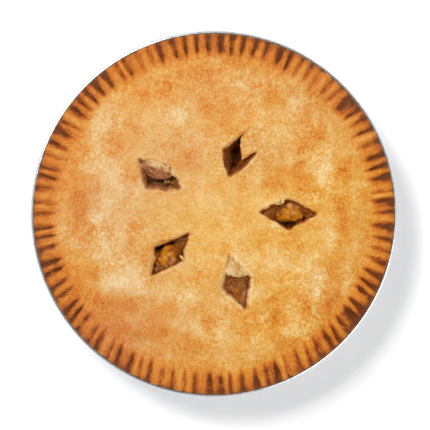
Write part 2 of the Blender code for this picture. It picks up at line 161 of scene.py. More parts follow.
# Stretches of the lid that are browner (+) or paler (-) than the rest:
# (x, y, length, width, bearing, strength).
PATCHES = table(
    "llllan",
    (44, 23, 12, 5, -18, 0.22), (33, 17, 6, 4, 30, 0.12), (54, 12, 6, 5, 0, 0.12),
    (24, -53, 6, 5, 20, 0.16), (20, -62, 9, 5, 10, 0.24), (33, -47, 6, 4, -30, 0.05),
    (46, -45, 9, 6, -20, 0.18), (52, -52, 6, 6, 0, 0.14), (38, -58, 8, 5, 0, 0.12),
    (72, 0, 16, 3, 90, 0.26), (70, 22, 8, 4, 90, 0.12), (53, 40, 8, 7, 60, 0.22), (66, -33, 6, 4, 90, 0.12),
    (64, -48, 8, 5, 60, 0.14), (-14, 30, 8, 5, 0, 0.14), (-68, -8, 5, 4, 90, 0.16),
    (-68, -32, 4, 3, 90, 0.16), (-66, 14, 5, 4, 90, 0.04), (-55, 35, 6, 5, 60, 0.12),
    (-58, -52, 8, 5, 0, 0.16), (-45, -50, 8, 4, 20, 0.12), (-30, -66, 8, 5, 0, 0.16),
    (-28, -52, 6, 6, 0, 0.08), (-50, -66, 8, 5, 0, 0.12), (0, -60, 6, 4, 0, 0.08),
    # (6, -21), by the south vent's inner tip, is partly painted shade.
    (6, -21, 4, 2.5, 60, 0.18), (28, 30, 7, 5, 0, 0.1), (0, 58, 12, 8, 30, 0.14),
    (-35, 68, 12, 5, 20, 0.16), (30, 66, 9, 5, -30, 0.14), (-6, 80, 10, 4, 0, 0.12),
    (-64, 46, 14, 4, 65, -0.22), (-58, 20, 12, 4, 95, -0.18), (-62, -2, 10, 5, 80, -0.14),
    (-52, -12, 8, 4, 90, -0.16), (-60, -22, 7, 5, 60, -0.14), (-50, -36, 10, 6, 20, -0.22),
    (-60, -40, 6, 4, 0, -0.16), (-40, -42, 6, 3, 0, -0.14), (-12, -46, 6, 3, 90, -0.12),
    (58, -40, 8, 3, 85, -0.3), (56, -53, 7, 3, 80, -0.24), (59, 19, 3, 2.5, 0, -0.24),
    (57, -22, 3, 2.5, 0, -0.22), (50, -29, 6, 2.5, 50, -0.14), (75, -40, 7, 2.5, 90, -0.28),
    (63, 33, 9, 3, 80, -0.18), (66, 52, 10, 4, 75, -0.14), (30, -19, 4, 3, 0, -0.14),
    (33, -30, 6, 4, 0, -0.12), (45, -66, 8, 3, 0, -0.14), (28, -58, 3, 2, 0, -0.14),
    (-8, -63, 5, 3, 90, -0.12), (13, -10, 10, 6, 0, -0.08), (-10, 0, 12, 10, 0, -0.04),
    (-20, 56, 8, 4, 40, -0.16), (14, 72, 9, 3, -20, -0.18), (44, 62, 6, 3, -50, -0.16),
    (40, -38, 16, 9, 0, -0.06), (-52, -50, 16, 12, 0, 0.05), (-76, 0, 42, 6, 90, 0.1),
    (-68, 24, 12, 6, 90, -0.09), (-67, -12, 10, 5, 90, -0.05), (38, 31, 13, 5, 0, -0.09),
    (74, -64, 16, 9, 50, 0.09), (-68, -66, 14, 8, -45, 0.09), (4, -62, 16, 8, 0, 0.04),
    (-17, -58, 8, 6, 0, -0.09), (46, -54, 13, 7, 40, -0.07), (62, 3, 7, 6, 90, 0.07),
)
PATCH_STRENGTH, PATCH_LIMIT, PATCH_STIR = 1.4, 0.28, 4 * MM

# Raised lips of dough along the vents' edges: (x, y, length, width, bearing, height, how much paler). The
# paleness is partly paler dough and partly a painted highlight where an edge catches the light.
LIPS = table(
    "llllaln",
    (20.8, -42, 9, 1.2, 88, 0.5, 0.34), (9.6, -47, 9, 1.1, 135, 0.4, 0.28),
    (4.6, -37, 4, 1.2, 80, 0.3, 0.18), (14.8, -27.6, 8, 1.1, 130, 0.5, 0.36),
    (-22, -13.2, 3, 0.9, 20, 0.3, 0.34), (-17, -22.5, 4, 1.1, 70, 0.4, 0.28),
    (-33.6, -24, 3.5, 1, 85, 0.3, 0.2), (-26.5, -32, 7, 0.8, 20, 0.2, 0.18),
    (33.4, -4.4, 5, 0.9, 150, 0.3, 0.32), (52, -3.4, 7, 0.8, 25, 0.3, 0.22),
    (29.6, 4.2, 7, 0.9, 28, 0.3, 0.2), (-22.2, 23.4, 4, 0.6, 118, 0.4, 0.12),
    (-19.4, 16.2, 3, 0.9, 110, 0.2, 0.2), (19.6, 28.2, 7, 1, 48, 0.3, 0.24),
)

# Rosier (+) and yellower (-) stretches: (x, y, radius, strength).
BLUSHES = table(
    "llln",
    (-42, -56, 24, 0.5), (-60, 5, 22, 0.3), (-14, 31, 12, 0.5), (66, -42, 14, 0.2), (-58, 52, 20, 0.25),
    (60, 60, 16, 0.25), (0, 72, 30, 0.25), (14, -6, 28, -0.3), (34, -34, 14, -0.25), (-75, 10, 46, 0.28),
    (62, -8, 46, -0.3), (30, -62, 20, -0.2), (74, -68, 24, -0.3), (36, 31, 13, 0.35), (-36, 34, 13, 0.3),
    (-60, -72, 22, 0.5),
)

# Stretches of the rim whose grooves are baked darker (+) or paler (-): (x, y, radius, strength).
CHARS = table(
    "llln",
    (-56, -76, 24, 0.12), (72, -66, 26, 0.24), (-88, -42, 20, 0.18), (70, 66, 22, -0.1), (93, -20, 18, 0.2),
)

# Stretches where the fine mottling is stronger (+) or fainter (-): (x, y, radius, how much).
GRAINY = table(
    "llln",
    (56, 24, 24, 0.4), (62, -30, 22, 0.38), (42, -60, 20, 0.55), (4, -62, 18, 0.4), (-62, -18, 18, 0.45),
    (-64, 30, 14, 0.3), (8, 62, 24, 0.3), (-8, 2, 24, -0.3), (-42, -56, 14, -0.3), (20, -8, 12, -0.1),
)

# Where the vents' torn edges stray outwards (+) or inwards (-) of the solids' diamonds:
# (x, y, reach, how far).
TEARS = table(
    "llll",
    (41, -8.3, 4, 1), (41.2, 9.2, 3, -0.9), (36.4, 6.6, 2.4, -0.9), (32, -3, 4, 0.4),
    (-31.5, -17.5, 4.5, 1.6), (-24, -14.6, 4, 0.5), (-16.2, -25, 3, -0.8), (-14.8, -19, 5, -1.2),
    (4.2, -38, 6, 1.6), (8, -45, 6, 1.3), (19, -46, 5, -0.5), (-36.5, 15.5, 4, 1.7), (-28, 15, 6, 1.7),
    (-39.5, 22, 5, 1), (-23.6, 27.5, 3, -1.6), (-30, 29, 5, -0.7), (-22, 23, 3, -1.6), (16, 27, 5, 1),
    (6.6, 29, 6, 0.6),
)
TEAR_SPREAD = 0.3 * MM

# Where a vent's wall slopes in more than elsewhere: (x, y, reach, how much farther in its foot is).
SLOPES = table(
    "llll",
    (4.2, -38, 6, 2), (9, -46, 6, 1.5), (19.6, -40, 5, 0.8), (-36.5, 15.5, 4, 1.4), (-28, 14, 7, 1.9),
    (-39.5, 23, 6, 1.6), (6.6, 29, 6, 2.2), (14.6, 26, 5, 1.2), (-34, -25, 5, 0.9), (-16, -21, 4, 0.8),
    (30, -1.5, 4, 0.5), (50, -4, 4, 0.5), (-30.5, -15.8, 4, 0.9), (-23.5, -13, 4, 0.7), (50, 4.6, 5, 0.5),
    (31, 4.2, 4, 0.6), (20.4, 31, 4, 1.3),
)

# Where the flaps' torn edges stray outwards (+) or inwards (-): (x, y, reach, how far).
FLAP_TEARS = table(
    "llll",
    (6.5, -34.5, 2.2, -0.6), (17.2, -35.2, 2, -0.5), (11, -36.4, 3, -0.8), (-22.2, 25, 2.8, -1.7),
)

# Folds of the flaps and how much browner they are: (x, y, length, width, bearing, height, browner). The
# browning is partly the dough's own, and partly painted shade (+) in creases and on shaded sides and painted
# light (-) on lit sides.
FOLDS = table(
    "llllaln",
    (8.2, -25, 4, 2.2, 80, -0.5, 0.28), (13.4, -29.4, 6, 0.7, 130, -0.5, 0.22),
    (9.4, -30.5, 3, 1.6, 60, 0.5, -0.12), (8.4, -33, 2.4, 0.8, 150, 0.4, -0.1),
    (15.5, -32.5, 3.5, 1.5, 20, 0.3, 0.04), (11.5, -27.6, 3, 1, 120, 0.4, -0.08),
    (12.5, -30, 5, 2.2, 110, -0.3, 0.18), (8.6, -32, 3, 1.6, 20, 0.2, -0.14),
    (-33, 26.6, 6, 1, 172, 0.4, -0.08), (-29, 25.4, 5, 0.6, 170, -0.3, 0.14),
    (17, 31, 4, 2.4, 40, 0.4, 0.06), (19, 40, 9, 3, 80, 0.3, 0.14), (-39.4, 25.4, 6.4, 3, 107, -0.3, 1.3),
    (-24.4, 25.2, 2.8, 0.5, 115, -0.5, 0.9), (-27, 27.4, 2, 0.4, 160, -0.3, 0.7),
)

# Deep pockets between the apple pieces, where the gel is also painted darker as painted shade: (x, y, radius,
# depth).
POCKETS = table(
    "llll",
    (37.5, -4.4, 2.4, 2.6), (40.5, -5.4, 2.6, 3.4), (43.8, -5.8, 2.2, 2.8), (-31.4, -18.9, 2.2, 3.6),
    (-28.6, -17.5, 2.6, 4.4), (-25.2, -15.8, 2.2, 4), (-33, 18, 3.2, 3.6), (-29.6, 17.8, 3.2, 3.6),
    (12.6, 31.5, 3, 4.5), (12.4, 35, 3, 4.5), (11.6, 28.2, 2.2, 3.6), (50.4, -2.4, 1.6, 1.6),
    (-33.4, -27.8, 2.1, 3.2), (12.5, -35.8, 3.6, 1.6), (-36.6, 19.4, 3, 2.2),
)

# Loose flakes of crust: (x, y, length, width, bearing, how far below the lid's surface, bake).
CRUMBS = table(
    "llllaln",
    (38.4, 7.7, 3.8, 1.4, 82, -0.3, 0.16), (36, 5.6, 3.4, 0.9, 6, 0.9, 0.34),
    (29.8, 3.6, 2.4, 0.7, 10, 0.3, 0.4), (-17.9, -24.4, 3.2, 1.2, -52, 0.8, 0.16),
    (-22.9, 22.9, 4.6, 0.8, -66, 0.3, 0.04), (-27.2, 27, 2, 0.8, -20, 0.5, 0.3),
    (12.4, -26.2, 3.4, 1, -52, 0.1, 0.04), (9.8, -23.8, 2.4, 0.8, -60, 0.2, 0.14),
    (-23.4, -13.5, 3.4, 0.9, 22, 0.2, 0.42), (-25.6, 27.2, 3, 0.7, -40, 0.2, 0.08),
)
CRUMB_HEIGHT = 0.9 * MM

# Stretches of the apple that gel covers more (+) or less (-): (x, y, radius, how much).
SAUCES = table(
    "llln",
    (31.4, 1.2, 4.4, 0.34), (51, 1, 3, 0.3), (-19.8, -16, 4.5, 0.4), (-22.4, -19.6, 3.4, -0.08),
    (-34, -30, 3.4, 0.3), (14, -40, 8, 0.08),
)

# Where gel wells up between the apple and the crust: (x, y, radius, how far).
MOUNDS = table(
    "llll",
    (31, 1.6, 4.5, 1), (38, 6, 3, 1.4), (53, 0.6, 3.6, 0.6), (45, 5.6, 4, 1), (51.4, 1.6, 1.8, 1.4),
    (-19, -14.6, 4.5, 0.8), (-18, -21, 3, 0.5), (-33.4, -29, 3, 1.4), (-24, -29, 3, 0.8),
    (-33.6, -22.4, 2.6, 2.2), (10, -40, 4.5, 2.6), (14.6, -47, 4.5, 2.4), (17, -38, 3.5, 2.2),
    (9, 24, 3, 1.2), (12.5, -35.4, 3.4, 4.8), (8, -34.8, 2.2, 3.6), (17, -35, 2.2, 3.6), (17, 29, 3.5, 1.4),
    (-22, 16, 2.6, 1), (-37, 20, 3, 1.6),
)

# Pieces whose tone is 1 lie wholly under the gel, which keeps their form.
Apple = namedtuple("Apple", "vent along across length width height turn drop tone")
APPLES = [
    Apple(*row)
    for row in table(
        "snnlllnln",
        ("east", 0.02, 0.06, 18, 11, 7, -4, 2.5, 0.43), ("east", -0.6, -0.05, 10, 7, 6, 25, 4.4, 1),
        ("east", 0.66, -0.02, 9, 6, 5, -30, 4.6, 1), ("southwest", 0.15, 0.08, 17, 12, 7, 8, 2.5, 0.43),
        ("southwest", -0.58, 0.1, 10, 7, 6, -20, 5.2, 1), ("south", 0.3, 0.02, 15, 9, 5.6, 6, 3.8, 0.62),
        ("west", -0.34, 0.56, 9, 6, 4.6, 30, 5.2, 1), ("north", -0.45, 0.1, 11, 7, 4.6, 15, 6.4, 1),
    )
]
# Smaller lobes on them and drops of gel, which catch the light:
# (x, y, length, width, height, bearing, how far below the lid, tone).
LOBES = table(
    "lllllaln",
    (42.4, 4.2, 5.5, 3.6, 2.4, -20, 2, 0.16), (46, 3.6, 3.4, 2.8, 2, 40, 2.1, 0.28),
    (48, 3.2, 2.2, 2.8, 1.6, 10, 2.6, 0.34), (40.4, 0.8, 6, 4.2, 2.6, 25, 2.2, 0.36),
    (44.6, 0.4, 4.4, 3.2, 2.2, -15, 2, 0.28), (41.6, -1.8, 3, 2.2, 1.6, 30, 2.3, 0.34),
    (47.6, -0.8, 5, 4, 2.4, -30, 2.5, 0.34), (33.4, 0, 3, 1.6, 1.4, 35, 4.2, 0.8),
    (30.6, 2.2, 2.2, 1.4, 1.2, -20, 4.4, 0.9), (54, -0.4, 1.8, 1.2, 1.2, 10, 4.2, 0.85),
    (52.2, 1.6, 2, 1.4, 1.2, 60, 4, 0.8), (-24.8, -22.4, 3.6, 2.6, 2, 30, 2, 0.24),
    (-27, -24.6, 3.4, 3, 2.2, -30, 2.1, 0.24), (-22.8, -26, 4.2, 2.2, 1.8, 30, 2.5, 0.16),
    (-26.2, -27.6, 3, 2.2, 1.8, 10, 2.5, 0.22), (-28.8, -29.2, 2.6, 2, 1.6, 45, 3, 0.3),
    (-25.6, -19.6, 3, 2.4, 1.8, 40, 2.5, 0.34), (-29.8, -25.4, 4.4, 3.6, 2.4, 15, 2.7, 0.34),
    (-20.6, -15.4, 3.2, 2, 1.6, 30, 4, 0.8), (-18.6, -21.8, 2.6, 1.6, 1.4, 70, 3.4, 0.7),
    (-33, -31, 2.6, 1.6, 1.4, 60, 4.4, 0.9), (13.2, -40, 5, 4, 2.4, 20, 3.4, 0.52),
    (10, -41.4, 3.4, 1.4, 1.2, -50, 3.8, 0.5), (16.4, -44.4, 3, 1.8, 1.4, 40, 4, 0.6),
    (14.6, -46.8, 5, 3.6, 2.4, -70, 4, 0.5), (-26.2, 18, 3.8, 2.6, 1.4, 20, 4.5, 0.9),
    (-23, 17, 3.4, 2.4, 1.8, -30, 4.4, 0.8),
)
# Painted highlights: paler spots painted where the wet fruit and gel catch the light, a paler painted sheen
# in the west vent's pocket, and painted light at the shaded tips of the vents: (x, y, radius, strength).
PAINTED_GLINTS = table(
    "llln",
    (42.4, 4.9, 1.5, 0.9), (45.9, 4.3, 0.8, 0.6), (47.3, 3.7, 0.7, 0.6), (41.3, 0.9, 0.8, 0.6),
    (44.3, 0.8, 1.3, 0.7), (41.2, -1.2, 0.6, 0.4), (53.4, -0.4, 0.7, 0.4), (-24.9, -22.4, 0.9, 0.7),
    (-27, -24.6, 1.1, 0.7), (-22.9, -26, 1.4, 0.7), (-24.6, -27.6, 0.8, 0.5), (-26.6, -29, 0.8, 0.6),
    (-20.3, -16.2, 0.7, 0.3), (9.8, -40.6, 0.9, 0.6), (10.6, -42, 0.8, 0.6), (16.6, -44.2, 1.1, 0.7),
    (16.1, -45.6, 0.6, 0.4), (-27.4, 18.5, 0.5, 0.9), (-25.2, 18, 0.6, 0.9), (8.4, -37.6, 1.2, 0.4),
    (-33, 18, 3.2, 0.5), (-29.4, 17.8, 2.6, 0.5), (-22.4, 17.2, 1.8, 0.3), (16.6, -50, 2.6, 0.75),
    (16.4, -38, 2.6, 0.2), (13, -41, 3, 0.15), (-33.6, -31.8, 2.2, 0.45), (-31, -29, 1.6, 0.2),
    (27.8, 1.2, 2, 0.4), (16.8, -39.8, 1.2, 0.3),
)

# How deep the apple pieces sit in gel: its line below their tops, how far it falls beside them and over
# what reach, and how thickly it covers the sunken ones.
GEL_SINK, GEL_FALL, GEL_REACH, GEL_COVER = 1.3 * MM, 3.0 * MM, (0.55, 1.6), 0.2 * MM
GEL_EASE = 0.35 * MM
# How far the gel climbs at the vents' walls, and from what share of the way out to them.
GEL_CLIMB, CLIMB_SHARES = 1.3 * MM, (0.5, 0.95)
# How uneven the apple pieces are, and how rounded (1) or boxy (0) they and their lobes are.
APPLE_ROUGHNESS, APPLE_ROUNDNESS, LOBE_ROUNDNESS = 0.16, 0.72, 0.92

# ---------------------------------------------------------------- surface

# The numbers that every piece of pastry keeps at its vertices.
PASTRY = ("bake", "rosy", "juice", "mottle")
# How much browner the lid gets outwards: (how much, from what radius, to what radius).
OUTWARD_BROWNING = table("nll", (0.065, 62, 76), (0.17, 80, 94))
# From what radius to what radius the rim gets pressed by the crimps, and its grooves baked dark.
PRESSED, CHARRED = (87 * MM, 92 * MM), (86 * MM, 93 * MM)
# From what radius the rim's edge is baked darker.
DARK_EDGE_FROM = 96.5 * MM
# How far the lid's surface rounds down at the vents' edges.
EDGE_DROP = 0.5 * MM
# How the rim's edge rounds over: (share of the way down, how far out of the lid's radius).
EDGE_ROUNDING = (*table("nl", (0.15, 0.22), (0.4, 0.28), (0.7, 0.05)), (1.0, -EDGE_UNDERCUT))
BLISTERS, BLISTER_SEED, BLISTER_FIELD = 420, 77, 92 * MM
BLISTER_SIZES, BLISTER_HEIGHTS = (1.0, 3.4), (0.3, 1.0)
# The layers of the baked surface's fine relief: feature size in mm and seed of each layer of noise, then
# how high in mm and how browned the blisters and those layers are.
RELIEF_NOISES = ((5.5, 21), (2.0, 33), (1.1, 47))
RELIEF_HEIGHTS, RELIEF_BROWNING = (0.30, 0.16, 0.13, 0.07), (0.06, 0.05, 0.07, 0.05)

# ---------------------------------------------------------------- picture

PIXEL, PICTURE_WIDTH = 0.56 * MM, 430
CAMERA_HEIGHT, LID_LEVEL, SENSOR = 1.6, 36 * MM, 36.0
FLOOR_REACH = 3.0
# (name, place, size, power) of the soft lights, which point at the pie's middle.
LIGHTS = (("key", (-0.9, 1.0, 1.7), 0.9, 38.0), ("fill", (1.1, -0.9, 1.5), 1.6, 22.0))
LIGHTS_AIM = (0, 0, 0.03)
# The surroundings are white all round and dim straight overhead, so that wet things seen from above keep
# their colour: (how far up, grey).
SURROUNDINGS, SURROUNDINGS_POWER = ((0.60, 1.0), (0.86, 0.24)), 0.6

# ---------------------------------------------------------------- numbers and heights


def smoothstep(low, high, value):
    """0 at low, 1 at high and an even ease between."""
    share = np.clip((value - low) / (high - low), 0, 1)
    return share * share * (3 - 2 * share)


def bell(value):
    """1 at 0, falling evenly to nothing on both sides."""
    return np.exp(-(value**2))


def along_profile(points, radius):
    """A smooth curve through (radius, value) points, read at an array of radii."""
    places, values = np.array(points).T
    slopes = np.zeros(len(places))
    slopes[1:-1] = (values[2:] - values[:-2]) / (places[2:] - places[:-2])
    radius = np.clip(radius, places[0], places[-1])
    i = np.clip(np.searchsorted(places, radius, side="right") - 1, 0, len(places) - 2)
    span = places[i + 1] - places[i]
    t = (radius - places[i]) / span
    return (
        values[i] + (values[i + 1] - values[i]) * t * t * (3 - 2 * t)
        + slopes[i] * span * t * (1 - t) ** 2
        - slopes[i + 1] * span * t * t * (1 - t)
    )


def noise_at(places, length, seed):
    """Smooth noise, from -1 to 1, at an array of 3-D places. length is the size of its features."""
    scaled = np.asarray(places) / length + (0.0, 0.0, seed)
    return np.array([noise.noise(place) for place in scaled.tolist()])


def flat_noise(x, y, length, seed):
    """Smooth noise over the plane. It is the noise that the solids' swells and lumps use."""
    return noise_at(np.column_stack((x, y, np.zeros(len(x)))), length, seed)


def layered(x, y, base, *layers):
    """base with layers of noise over the plane added: (share, size of its features in mm, seed)."""
    return sum((share * flat_noise(x, y, size * MM, seed) for share, size, seed in layers), base)


def radial_noise(x, y, width, length, seed):
    """Noise whose features run outwards: that wide around the pie and that long across its rim."""
    around = np.arctan2(y, x) * LID_RADIUS / width
    return noise_at(np.column_stack((around, np.hypot(x, y) / length, np.zeros(len(x)))), 1, seed)


def gathered(x, y, places):
    """The sum, at arrays of places, of soft round spots: (x, y, reach, strength)."""
    return sum(
        strength * np.exp(-((x - px) ** 2 + (y - py) ** 2) / reach**2) for px, py, reach, strength in places
    )


def turned(x, y, px, py, heading):
    """(how far ahead, how far to the left) places lie of a point, for one who faces along a heading."""
    ahead = (x - px) * math.cos(heading) + (y - py) * math.sin(heading)
    return ahead, (y - py) * math.cos(heading) - (x - px) * math.sin(heading)


def oval_share(x, y, px, py, heading, length, width):
    """How far out places lie in an oval: 0 in its middle and 1 on its outline."""
    ahead, left = turned(x, y, px, py, heading)
    return np.hypot(ahead * 2 / length, left * 2 / width)


def streak_share(x, y, px, py, length, width, bearing):
    """1 in the middle of a long patch, fading to 0 around it."""
    ahead, left = turned(x, y, px, py, bearing)
    return np.exp(-((ahead / length) ** 2) - (left / width) ** 2)


def relief_share(x, y):
    """1 over the fruit, falling to 0 where the lid comes down to the flat rim."""
    return 1 - smoothstep(*RELIEF_FADES, np.hypot(x, y))


def swell(x, y):
    """The broad rise and fall of the lid and of the fruit that carries it."""
    return SWELL_HEIGHT * flat_noise(x, y, SWELL_LENGTH, SWELL_SEED) * relief_share(x, y)


def lid_top(x, y):
    """Height of the lid's upper surface, without its grooves and its finest relief."""
    lumps = LUMP_HEIGHT * flat_noise(x, y, LUMP_LENGTH, LUMP_SEED) * relief_share(x, y)
    return along_profile(LID_PROFILE, np.hypot(x, y)) + swell(x, y) + lumps


def lid_level(x, y):
    """Height of the lid's upper surface at one place."""
    return lid_top(np.array([x]), np.array([y]))[0]


def lid_underside(x, y):
    """Height of the lid's lower surface."""
    return np.maximum(RIM_BASE, along_profile(LID_PROFILE, np.hypot(x, y)) - LID + swell(x, y))


def edge_wander(x, y):
    """How far the pastry's edge strays in or out at a place."""
    return EDGE_WANDER * flat_noise(x, y, WANDER_LENGTH, 0)


def wall_radius(height, inset):
    """Radius of a cone inset from the tin's outer wall by a thickness."""
    return TIN_BASE_RADIUS + height * WALL_SLOPE - inset / math.cos(WALL_TILT)


# ---------------------------------------------------------------- mesh building


class Skin:
    """Vertices, faces and numbers kept at the vertices, gathered run by run."""

    def __init__(self, *tones):
        self.points = np.empty((0, 3))
        self.faces = []
        self.tones = {name: np.empty(0) for name in tones}

    def add(self, x, y, z, **tones):
        """Adds points and returns their indices. A tone that isn't given is 0."""
        points = np.column_stack(np.broadcast_arrays(x, y, z))
        indices = np.arange(len(self.points), len(self.points) + len(points))
        self.points = np.vstack((self.points, points))
        for name, kept in self.tones.items():
            given = np.broadcast_to(np.asarray(tones.get(name, 0.0), float), len(points))
            self.tones[name] = np.concatenate((kept, given))
        return indices

    def body(self, points, faces, **tones):
        """Adds a closed body, such as a shaped ball."""
        self.faces += self.add(*points.T, **tones)[faces].tolist()

    def strips(self, rings):
        """Quads between closed rings of as many points, from each ring to the next."""
        for first, second in zip(rings, rings[1:]):
            self.faces += np.column_stack((first, np.roll(first, -1), np.roll(second, -1), second)).tolist()

    def cap(self, ring, height):
        """Triangles from a closed ring to a point on the pie's axis."""
        (middle,) = self.add([0.0], 0.0, height)
        self.faces += [(a, b, middle) for a, b in zip(ring.tolist(), np.roll(ring, -1).tolist())]

    def fill(self, loose, outer, holes=()):
        """Triangles over loose points, seen flat, inside the outer ring and outside the holes."""
        rings = (outer, *holes)
        kept = np.concatenate((*rings, loose))
        ends = np.cumsum([0] + [len(ring) for ring in rings])
        runs = [np.arange(start, end) for start, end in zip(ends, ends[1:])]
        self.faces += kept[triangulate(self.points[kept, :2], runs[0], runs[1:])].tolist()

    def piece(self, name, material):
        """Makes the object, with its surfaces facing outwards and shaded smooth."""
        mesh = bpy.data.meshes.new(name)
        mesh.from_pydata(self.points.tolist(), [], self.faces)
        work = bmesh.new()
        work.from_mesh(mesh)
        bmesh.ops.recalc_face_normals(work, faces=work.faces)
        work.to_mesh(mesh)
        work.free()
        for tone, kept in self.tones.items():
            mesh.attributes.new(tone, "FLOAT", "POINT").data.foreach_set("value", kept)
        mesh.shade_smooth()
        mesh.materials.append(material)
        return placed(name, mesh)


def placed(name, content):
    """A new object, linked to the scene, that holds a mesh, a light or a camera."""
    made = bpy.data.objects.new(name, content)
    bpy.context.scene.collection.objects.link(made)
    return made


def inside_loop(points, loop):
    """Which points lie inside a closed outline, by crossings."""
    inside = np.zeros(len(points), bool)
    x, y = points[:, 0], points[:, 1]
    for (x0, y0), (x1, y1) in zip(loop, np.roll(loop, -1, axis=0)):
        if y0 != y1:
            inside ^= ((y0 > y) != (y1 > y)) & (x < (x1 - x0) * (y - y0) / (y1 - y0) + x0)
    return inside


def distance_to_loop(points, loop, reach):
    """Distance from each point to a closed outline, or reach where it is farther than that."""
    low, high = loop.min(axis=0) - reach, loop.max(axis=0) + reach
    near = np.all((points > low) & (points < high), axis=1)
    close = points[near]
    nearest = np.full(len(close), reach)
    for start, end in zip(loop, np.roll(loop, -1, axis=0)):
        along = end - start
        share = np.clip((close - start) @ along / (along @ along), 0, 1)
        nearest = np.minimum(nearest, np.linalg.norm(close - start - share[:, None] * along, axis=1))
    distance = np.full(len(points), reach)
    distance[near] = nearest
    return distance


def clear_of(points, loop, gap, inside=False):
    """The points that lie outside a closed outline, or inside it, and farther from it than a gap."""
    return points[(inside_loop(points, loop) == inside) & (distance_to_loop(points, loop, 2 * gap) > gap)]


def hex_points(step, radius, seed, centre=(0.0, 0.0), jitter=0.16):
    """Points in a disc, in offset rows, each moved a little at random."""
    row_step = step * math.sqrt(3) / 2
    rows, columns = int(radius / row_step) + 1, int(radius / step) + 1
    row, column = np.mgrid[-rows:rows + 1, -columns:columns + 1]
    grid = np.column_stack((((column + (row % 2) / 2) * step).ravel(), (row * row_step).ravel()))
    grid += np.random.default_rng(seed).uniform(-jitter, jitter, grid.shape) * step
    return grid[np.hypot(*grid.T) < radius] + centre


def triangulate(points, outer, holes):
    """Triangles of flat points inside the outer loop and outside the holes, which are runs of indices."""
    edges = [pair for loop in (outer, *holes) for pair in zip(loop.tolist(), np.roll(loop, -1).tolist())]
    flat = [Vector(point) for point in points.tolist()]
    _, _, faces, origins, _, _ = delaunay_2d_cdt(flat, edges, [], 0, 1e-9, True)
    faces = np.array([[origins[corner][0] for corner in face] for face in faces])
    centres = points[faces].mean(axis=1)
    kept = inside_loop(centres, points[outer])
    for hole in holes:
        kept &= ~inside_loop(centres, points[hole])
    return faces[kept]


def circle(radius, sides):
    """The x and y of points around a circle."""
    bearing = TURN * np.arange(sides) / sides
    return radius * np.cos(bearing), radius * np.sin(bearing)


def resampled(loop, step):
    """A closed outline with points every step or so."""
    closed = np.vstack((loop, loop[:1]))
    lengths = np.concatenate(([0], np.cumsum(np.linalg.norm(np.diff(closed, axis=0), axis=1))))
    places = np.linspace(0, lengths[-1], round(lengths[-1] / step), endpoint=False)
    return np.column_stack([np.interp(places, lengths, closed[:, axis]) for axis in (0, 1)])


def eased(loop):
    """A closed outline with its corners eased."""
    return (np.roll(loop, 1, axis=0) + 2 * loop + np.roll(loop, -1, axis=0)) / 4


def outward_of(loop):
    """Unit normals of a closed outline."""
    following = np.roll(loop, -1, axis=0)
    along = following - np.roll(loop, 1, axis=0)
    along /= np.linalg.norm(along, axis=1)[:, None]
    turn = np.sign((loop[:, 0] * following[:, 1] - loop[:, 1] * following[:, 0]).sum())
    return turn * np.column_stack((along[:, 1], -along[:, 0]))


def unit_ball(subdivisions):
    """(directions, faces) of a ball of evenly spread triangles, half a unit in radius."""
    ball = bmesh.new()
    bmesh.ops.create_icosphere(ball, subdivisions=subdivisions, radius=0.5)
    directions = np.array([vertex.co for vertex in ball.verts])
    faces = np.array([[vertex.index for vertex in face.verts] for face in ball.faces])
    ball.free()
    return directions, faces


def swung(points, bearing):
    """Points turned about the vertical through 0."""
    return points @ np.array(Matrix.Rotation(bearing, 3, "Z")).T


# ---------------------------------------------------------------- vents


def vent_axes(vent):
    """(middle, unit vector along, unit vector across) of a vent."""
    bearing = math.radians(vent.bearing)
    heading = bearing + math.radians(vent.twist)
    side = heading + math.radians(90 + vent.lean)
    out, along, across = (np.array((math.cos(turn), math.sin(turn))) for turn in (bearing, heading, side))
    return out * vent.reach, along, across


def vent_point(vent, along, across):
    """A point of a vent: along is -1 at its inner tip and 1 at its outer, across 1 at its left corner."""
    middle, length_axis, width_axis = vent_axes(vent)
    return middle + length_axis * along * vent.length / 2 + width_axis * across * vent.width / 2


def vent_edge_share(vent, x, y):
    """How far out places lie from a vent's middle: 1 all along the diamond's outline."""
    (mx, my), (ax, ay), (cx, cy) = vent_axes(vent)
    along = ((x - mx) * cy - (y - my) * cx) * 2 / vent.length
    across = ((y - my) * ax - (x - mx) * ay) * 2 / vent.width
    return (abs(along) + abs(across)) / (ax * cy - ay * cx)


def vent_outline(vent, draw):
    """The diamond's outline as the solids have it, each of its sides bowed a little in or out."""
    outline = []
    corners = [vent_point(vent, *place) for place in ((-1, 0), (0, -1), (1, 0), (0, 1))]
    for start, end in zip(corners, corners[1:] + corners[:1]):
        along = (end - start) / np.linalg.norm(end - start)
        outward = np.array((along[1], -along[0]))
        bow = draw.uniform(-0.5, 1.0) * VENT_BOW
        for part in range(VENT_SIDE_PARTS):
            share = part / VENT_SIDE_PARTS
            outline.append(start + (end - start) * share + outward * bow * math.sin(math.pi * share))
    return np.array(outline)


def torn_outline(outline, seed, strays, tear=1.0):
    """An outline as torn dough: close points, eased corners and a ragged line."""
    loop = eased(resampled(outline, VENT_STEP))
    ragged = layered(*loop.T, 0, (0.42, 2.6, seed), (0.24, 0.9, seed + 5))
    outward = ragged * tear * MM + gathered(*loop.T, strays) + TEAR_SPREAD
    loop = loop + outward_of(loop) * outward[:, None]
    return eased(resampled(loop, VENT_STEP))


# ---------------------------------------------------------------- lid


def groove_stations(draw):
    """(bearing, lean, share of full drop) of each groove, drawn as the solids draw them."""
    stations = []
    for index in range(GROOVES):
        bearing = TURN * (index + GROOVE_JITTER * draw.uniform(-1, 1)) / GROOVES
        lean = GROOVE_LEAN * math.sin(2 * bearing) if math.sin(bearing) < 0 else 0.0
        lean += GROOVE_LEAN_JITTER * draw.uniform(-1, 1)
        stations.append((bearing, lean, draw.uniform(*GROOVE_DEPTHS)))
    return np.array(stations)


